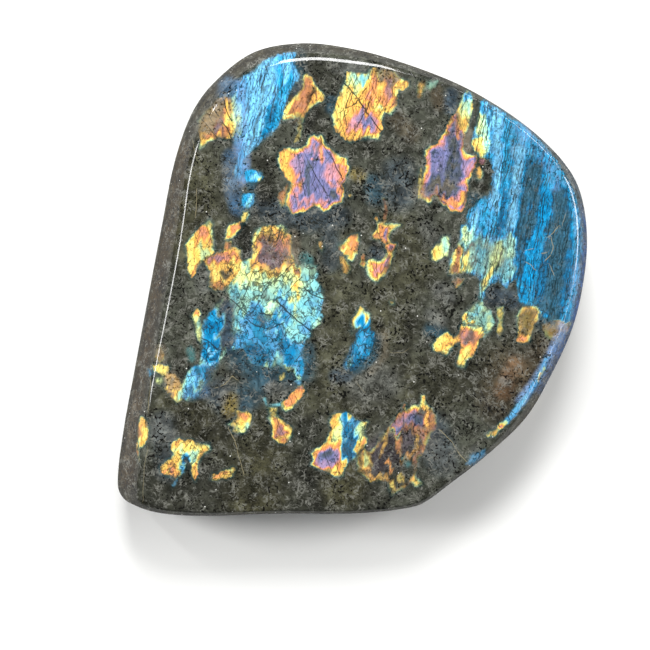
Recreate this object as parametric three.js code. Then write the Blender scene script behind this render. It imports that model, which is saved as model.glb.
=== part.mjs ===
// A polished freeform slab of labradorite, one solid piece of stone.
// Millimetres, +Z up. The slab lies on its flat back with its polished face up, and the origin is
// the centre of its footprint, on the surface that it lies on. Seen from above the polished face,
// +X runs to the right and +Y to the rounded top end.

import * as THREE from "three";
import { ParametricGeometry } from "three/addons/geometries/ParametricGeometry.js";

// Driving dimensions
const WIDTH = 95.1; // widest, along X
const LENGTH = 95.8; // from the ground foot to the rounded top end, along Y
const THICKNESS = 22; // at the middle of the face
const FACE_CROWN = 0.6; // how far the polished face falls from its middle to its edge
const WALL_BULGE = 0.8; // how far the side wall would lean in from its widest line to the back
const BACK_RIM_SHARE = 0.85; // the back's rim against the front's, in width and depth
const BACK_RIM_LEAST = 1.2; // the narrowest rim on the back

const WAIST_HEIGHT = THICKNESS / 2; // of the side wall's widest line
const FACE_EDGE_HEIGHT = THICKNESS - FACE_CROWN;

// Stations anticlockwise round the widest line, the waist of the side wall. x and y are shares of
// half the width and half the length. rim is the width of the rim between the wall and the face,
// and depth is how far it falls from the face's edge, both in millimetres. chamfer is 0 for a
// round rim and 1 for a flat one.
const STATIONS = [
  { x: 1.0, y: 0.173, rim: 2.2, depth: 4.4, chamfer: 0.1 }, // right side
  { x: 0.985, y: 0.313, rim: 2.0, depth: 4.2, chamfer: 0.1 },
  { x: 0.951, y: 0.417, rim: 1.9, depth: 4.0, chamfer: 0.1 },
  { x: 0.894, y: 0.502, rim: 1.6, depth: 3.6, chamfer: 0.1 },
  { x: 0.833, y: 0.567, rim: 1.4, depth: 3.3, chamfer: 0.1 }, // upper right shoulder
  { x: 0.758, y: 0.634, rim: 1.3, depth: 3.0, chamfer: 0.1 },
  { x: 0.626, y: 0.728, rim: 1.3, depth: 2.9, chamfer: 0.1 },
  { x: 0.443, y: 0.829, rim: 1.4, depth: 3.0, chamfer: 0.1 },
  { x: 0.172, y: 0.93, rim: 2.1, depth: 3.8, chamfer: 0.15 },
  { x: 0.002, y: 0.975, rim: 3.0, depth: 4.8, chamfer: 0.2 }, // rounded top end
  { x: -0.207, y: 1.0, rim: 3.6, depth: 5.8, chamfer: 0.25 },
  { x: -0.416, y: 0.964, rim: 3.9, depth: 6.4, chamfer: 0.3 },
  { x: -0.577, y: 0.847, rim: 3.8, depth: 6.6, chamfer: 0.3 },
  { x: -0.673, y: 0.726, rim: 3.7, depth: 6.8, chamfer: 0.3 },
  { x: -0.753, y: 0.52, rim: 3.8, depth: 7.2, chamfer: 0.35 }, // left side
  { x: -0.817, y: 0.21, rim: 4.1, depth: 7.6, chamfer: 0.4 },
  { x: -0.877, y: -0.101, rim: 4.4, depth: 7.8, chamfer: 0.45 },
  { x: -0.935, y: -0.41, rim: 4.9, depth: 7.8, chamfer: 0.55 },
  { x: -0.973, y: -0.615, rim: 5.8, depth: 7.6, chamfer: 0.65 },
  { x: -1.0, y: -0.827, rim: 7.1, depth: 7.2, chamfer: 0.7 },
  { x: -0.996, y: -0.892, rim: 6.8, depth: 6.6, chamfer: 0.7 }, // lower left corner
  { x: -0.97, y: -0.93, rim: 5.4, depth: 5.0, chamfer: 0.6 },
  { x: -0.923, y: -0.956, rim: 2.9, depth: 2.9, chamfer: 0.4 },
  { x: -0.839, y: -0.984, rim: 1.6, depth: 1.9, chamfer: 0.3 },
  { x: -0.67, y: -1.0, rim: 1.2, depth: 1.6, chamfer: 0.3 }, // ground foot
  { x: -0.311, y: -0.991, rim: 0.8, depth: 1.3, chamfer: 0.2 },
  { x: 0.002, y: -0.991, rim: 0.7, depth: 1.1, chamfer: 0.2 },
  { x: 0.203, y: -0.973, rim: 0.7, depth: 1.1, chamfer: 0.2 },
  { x: 0.296, y: -0.95, rim: 0.9, depth: 1.2, chamfer: 0.2 },
  { x: 0.421, y: -0.862, rim: 0.8, depth: 1.3, chamfer: 0.2 }, // lower right flat
  { x: 0.587, y: -0.733, rim: 1.0, depth: 1.9, chamfer: 0.2 },
  { x: 0.739, y: -0.586, rim: 2.2, depth: 3.6, chamfer: 0.15 },
  { x: 0.84, y: -0.419, rim: 2.7, depth: 4.4, chamfer: 0.1 },
  { x: 0.94, y: -0.201, rim: 2.5, depth: 4.6, chamfer: 0.1 },
  { x: 0.987, y: 0.003, rim: 2.4, depth: 4.5, chamfer: 0.1 },
];

const COLUMNS_PER_STATION = 4;
const FRONT_RIM_STEPS = 6;
const BACK_RIM_STEPS = 4;
const WALL_RINGS = [-0.5, 0, 0.5]; // -1 is the back's rim, 0 the waist and 1 the front's rim
const BACK_RINGS = [0, 0.5]; // shares of the way from the middle to the edge of the flat back
const FACE_RINGS = [0.78, 0.52, 0.26, 0]; // the same on the polished face, from its edge inwards

const outline = new THREE.CatmullRomCurve3(
  STATIONS.map(({ x, y }) => new THREE.Vector3((x * WIDTH) / 2, (y * LENGTH) / 2, 0)),
  true,
  "centripetal",
);
const rimSizes = new THREE.CatmullRomCurve3(
  STATIONS.map(({ rim, depth, chamfer }) => new THREE.Vector3(rim, depth, chamfer)),
  true,
  "catmullrom",
);

// The slab's rings, from the middle of the back to the middle of the face. Each is a function
// that gives a column's radius and height there.
const RINGS = [
  ...BACK_RINGS.map(backRing),
  ...turns(BACK_RIM_STEPS).reverse().map(backRimRing),
  ...WALL_RINGS.map(wallRing),
  ...turns(FRONT_RIM_STEPS).map(frontRimRing),
  ...FACE_RINGS.map(faceRing),
];

function turns(steps) {
  return Array.from({ length: steps + 1 }, (_, i) => i / steps);
}

// How far the side wall leans in from its widest line at a height. The rims lean with it, so that
// they run smoothly into the wall.
function lean(height) {
  return WALL_BULGE * ((height - WAIST_HEIGHT) / WAIST_HEIGHT) ** 2;
}

// One step of a rim, from the wall (turn 0) to the flat (turn 1): the shares of its width covered
// and of its depth still to go.
function rimStep(turn, chamfer) {
  const angle = (turn * Math.PI) / 2;
  const power = 1 + chamfer;
  return {
    across: 1 - Math.max(Math.cos(angle), 0) ** power,
    toGo: 1 - Math.max(Math.sin(angle), 0) ** power,
  };
}

function backRing(share) {
  return ({ reach, backRim }) => ({ radius: share * (reach - lean(0) - backRim), height: 0 });
}

function backRimRing(turn) {
  return ({ reach, backRim, backDepth, chamfer }) => {
    const { across, toGo } = rimStep(turn, chamfer);
    const height = backDepth * toGo;
    return { radius: reach - lean(height) - backRim * across, height };
  };
}

function wallRing(share) {
  return ({ reach, depth, backDepth }) => {
    const wallEnd = share < 0 ? backDepth : FACE_EDGE_HEIGHT - depth;
    const height = WAIST_HEIGHT + Math.abs(share) * (wallEnd - WAIST_HEIGHT);
    return { radius: reach - lean(height), height };
  };
}

function frontRimRing(turn) {
  return ({ reach, rim, depth, chamfer }) => {
    const { across, toGo } = rimStep(turn, chamfer);
    const height = FACE_EDGE_HEIGHT - depth * toGo;
    return { radius: reach - lean(height) - rim * across, height };
  };
}

function faceRing(share) {
  return ({ reach, rim }) => ({
    radius: share * (reach - lean(FACE_EDGE_HEIGHT) - rim),
    height: THICKNESS - FACE_CROWN * share ** 2,
  });
}

// The point of one ring at the share u of the way round the slab. The last column, at u = 1, is
// the first one again, which closes the surface.
function surfacePoint(u, ring, target) {
  const around = u % 1;
  const widest = outline.getPoint(around);
  const reach = widest.length();
  const { x: rim, y: depth, z: chamfer } = rimSizes.getPoint(around);
  const backRim = Math.max(rim * BACK_RIM_SHARE, BACK_RIM_LEAST);
  const backDepth = Math.max(depth * BACK_RIM_SHARE, BACK_RIM_LEAST);
  const { radius, height } = ring({ reach, rim, depth, chamfer, backRim, backDepth });
  widest.setLength(radius);
  target.set(widest.x, widest.y, height);
}

function stoneGeometry() {
  const rows = RINGS.length - 1;
  return new ParametricGeometry(
    (u, v, target) => surfacePoint(u, RINGS[Math.round(v * rows)], target),
    STATIONS.length * COLUMNS_PER_STATION,
    rows,
  );
}

function stone() {
  const material = new THREE.MeshStandardMaterial({
    name: "labradorite",
    color: 0x4a4b48,
    roughness: 0.12,
    metalness: 0,
  });
  const mesh = new THREE.Mesh(stoneGeometry(), material);
  mesh.name = "stone";
  return mesh;
}

const slab = new THREE.Group();
slab.name = "labradorite_slab";
slab.add(stone());

export default slab;
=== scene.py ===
# A polished freeform slab of labradorite on a pale floor, seen from straight above its face.
# Blender metres, +Z up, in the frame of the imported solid. The measures of the stone and the camera
# are in millimetres here, and those of the floor and the lights in metres. The markings are drawn as
# the camera sees them on the level of the polished face.

import math

import bpy
import numpy as np
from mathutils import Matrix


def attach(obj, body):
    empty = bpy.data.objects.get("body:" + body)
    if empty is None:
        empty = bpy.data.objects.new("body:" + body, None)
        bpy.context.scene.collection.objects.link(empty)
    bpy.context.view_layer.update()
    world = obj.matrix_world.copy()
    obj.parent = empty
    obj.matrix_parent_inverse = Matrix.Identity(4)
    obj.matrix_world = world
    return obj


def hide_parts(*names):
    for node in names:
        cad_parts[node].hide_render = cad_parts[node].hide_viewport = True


MM = 0.001

# The camera looks straight down. Its place and lens frame the slab as the photograph does.
CAMERA_X = -5.52
CAMERA_Y = -9.23
CAMERA_HEIGHT = 511.0
CAMERA_FOCAL = 135.7
CAMERA_SENSOR = 36.0
CAMERA_CLIP = 10.0  # nothing nearer than this shows
MARKS_ORIGIN = (0.09, 0.16)  # where the markings' own coordinates start

# The polished mesh
FACE_GRID = 240  # squares along each side of the grid that fills the face
FRONT_RIM_SPLITS = 4  # rings for each of the solid's own on the front rim
BACK_RIM_SPLITS = 2  # and on the back rim
BACK_RINGS_MADE = 6
SOLID_BACK_RINGS = 1  # the solid's rings inside the edge of its back
SOLID_FACE_RINGS = 3  # and inside the edge of its face
SOLID_RIM_STEPS = 6  # the solid's steps round the front rim
SAME_ANGLE = 0.001  # radians within which points of the solid are in one column

# How high on the slab the markings reach, in millimetres above its back
RIM_SHADE_TOP = 21.3  # the rock starts to take the painted shade of the rims and sides here
RIM_SHADE_BLEND = 2.4  # and has taken it this far down
RIM_SHADE_SHARE = 0.8  # and how much of it, from 0 to 1
TINT_TOP = 18.0  # the drawn tints start to fade here
TINT_BOTTOM = 12.0  # and are gone here, where the clouds of the hidden rock are at their full
FRONT_FADE = 19.6  # the drawn flashes start to shrink here
FADE_RATE = 0.7  # by so many millimetres for each one further down
FRONT_BOTTOM = 8.0  # and they end here
HIDDEN_HIGH = 13.0  # the flashes that the photograph doesn't show start here
HIDDEN_LOW = 9.0  # and are at their full here

# The flashes that the photograph doesn't show, which a pattern in the material makes
HIDDEN_REACH = 26.0  # millimetres from the lowest to the highest depth in their pattern
HIDDEN_GAP = 2.6  # taken off that depth, so that rock shows between them
HIDDEN_DEPTH = 20.0  # and taken off further up the slab, so that none shows there
HIDDEN_RISE = 0.9  # how fast their colours climb from their edges
HIDDEN_CRACKS = {"net": 0.4, "fibre": 0.4, "straight": 0.5}
HIDDEN_SEED = 20

# How the flashes are painted
EDGE_REACH = 1.5  # how far outside its edge a flash is still felt, in millimetres
HALO_PHASE = 0.44  # of the thin line along a flash's edge
HALO_SPREAD = 0.22  # how much that varies
LEAST_WAY = 0.4  # the least share of the way from there to the last colour, climbed in the rim
MOST_WAY = 0.94  # and the most
STROKE_FADE = (0.4, 1.35)  # how many half widths from its line a stroke starts and ends its fade
TINT_FADE = (0.3, 1.25)  # and a tint of the rock
FIBRE_TURN = -10  # degrees that the stone's fibres lean
FRAY_LONG = 0.7  # how far strokes are frayed along the fibres, in millimetres
FRAY_WIDE = 0.25  # and in any direction
FRAY_SEED = 5
LINE_REACH = 0.9  # how far from its line a crack or vein is still felt, in millimetres
LINE_FAR = 9.0  # the distance that is written where no line is felt

# Random patterns are sums of waves: how many, and the shortest and the longest in millimetres
FRAY_END_WAVES = (7, 0.7, 3.0)
FRAY_SIDE_WAVES = (6, 1.4, 4.0)
HIDDEN_WAVES = (4, 14, 40)
CLOUD_WAVES = (6, 9, 30)

# What a point of the mesh has before anything is painted there
UNPAINTED = {"phase": 0.0, "glow": 0.0, "net": 0.0, "fibre": 0.0, "straight": 0.0, "crack": 0.0,
             "vein": 0.0, "edge": -EDGE_REACH, "rise": 1.0, "crack_side": LINE_FAR,
             "vein_side": LINE_FAR}

# The floor and the light. Each softbox looks at the slab from a compass bearing, counted
# anticlockwise from +X, and an angle from straight overhead, in degrees. Then come its width and
# height in metres and its power in watts.
FLOOR_SIZE = 6.0
WORLD_COLOUR = (0.96, 0.98, 1.0)
WORLD_STRENGTH = 0.08
LIGHT_DISTANCE = 1.0
SOFTBOXES = {
    "top_light": (90, 41, 0.32, 0.44, 8.7),
    "upper_left_light": (139, 44, 0.06, 0.3, 0.9),
    "left_light": (167, 42, 0.24, 0.5, 6.0),
    "right_light_1": (50, 46, 0.42, 0.05, 1.1),
    "right_light_2": (12, 46, 0.42, 0.22, 3.8),
    "right_light_3": (-20, 46, 0.42, 0.08, 1.5),
}

# Colours have values from 0 to 255. The colours of a flash follow each other in this order as it
# gets deeper, and each has its phase, its place from the first to the last.
FLASHES = {
    "navy": (0.0, (52, 92, 112)),
    "deep": (0.07, (20, 100, 144)),
    "blue": (0.13, (10, 132, 186)),
    "azure": (0.19, (42, 154, 200)),
    "periwinkle": (0.235, (84, 162, 214)),
    "sky": (0.28, (110, 182, 222)),
    "cyan": (0.35, (128, 212, 224)),
    "mint": (0.43, (176, 226, 196)),
    "lime": (0.5, (216, 232, 156)),
    "yellow": (0.57, (250, 224, 120)),
    "gold": (0.645, (246, 190, 92)),
    "orange": (0.71, (230, 150, 92)),
    "rose": (0.77, (208, 144, 150)),
    "mauve": (0.83, (168, 142, 176)),
    "violet": (0.89, (122, 124, 172)),
    "steel": (0.94, (94, 104, 130)),
    "brown": (1.0, (104, 92, 80)),
}
LAST_PHASE = 1.0

# The dark rock between the flashes, and its tints
ROCKS = {
    "rock": (60, 62, 54),
    # rim is painted shade: a darker colour that the rims, the side wall and the back take
    "rim": (42, 36, 20),
    "dark": (38, 38, 32),
    "black": (18, 18, 16),
    "pale": (92, 94, 90),
    "light": (124, 124, 118),
    "olive": (68, 66, 46),
    "brown": (78, 66, 50),
    "rust": (110, 82, 58),
    "taupe": (122, 112, 96),
    "slate": (54, 68, 80),
    "petrol": (40, 70, 84),
    "plum": (100, 90, 98),
    "sea": (58, 116, 118),
    "haze": (66, 102, 134),
    "mist": (122, 158, 206),
    "ochre": (118, 104, 56),
    "cobalt": (18, 74, 136),
    "umber": (54, 40, 20),
    "dusk": (60, 54, 60),
}
HIDDEN_CLOUDS = {"olive": 0.6, "slate": 0.5, "dark": 0.7, "pale": 0.45}  # and how strong they are

# What lies in the rock. A scratch has its turn in degrees, its shift and how light it is, and a curl
# its size, shift, strength and how light it is.
SCRATCHES = ((30, 0.12, 118), (-35, 0.22, 104), (80, 0.32, 126))
CURLS = ((1.9, 0.1, 0.55, 132), (1.2, 0.15, 0.5, 124), (1.5, 0.2, 0.75, 22), (1.0, 0.35, 0.6, 28))
HOLLOW = (26, 26, 22)  # of a dark scratch
PIT = (10, 10, 8)
# a painted highlight: the white of small sparks of reflected light painted into the rock
PAINTED_GLINT = (225, 225, 218)
CRACK = (30, 32, 34)
VEIN = (150, 140, 110)
AURA = (44, 88, 92)  # of the rock close round a flash

FLOOR_TONES = ((240, 240, 238), (246, 246, 244))

# The drawings below hold points written as 'x y, x y, ...'. A line that starts with two blanks goes
# on with the line before it.

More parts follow.
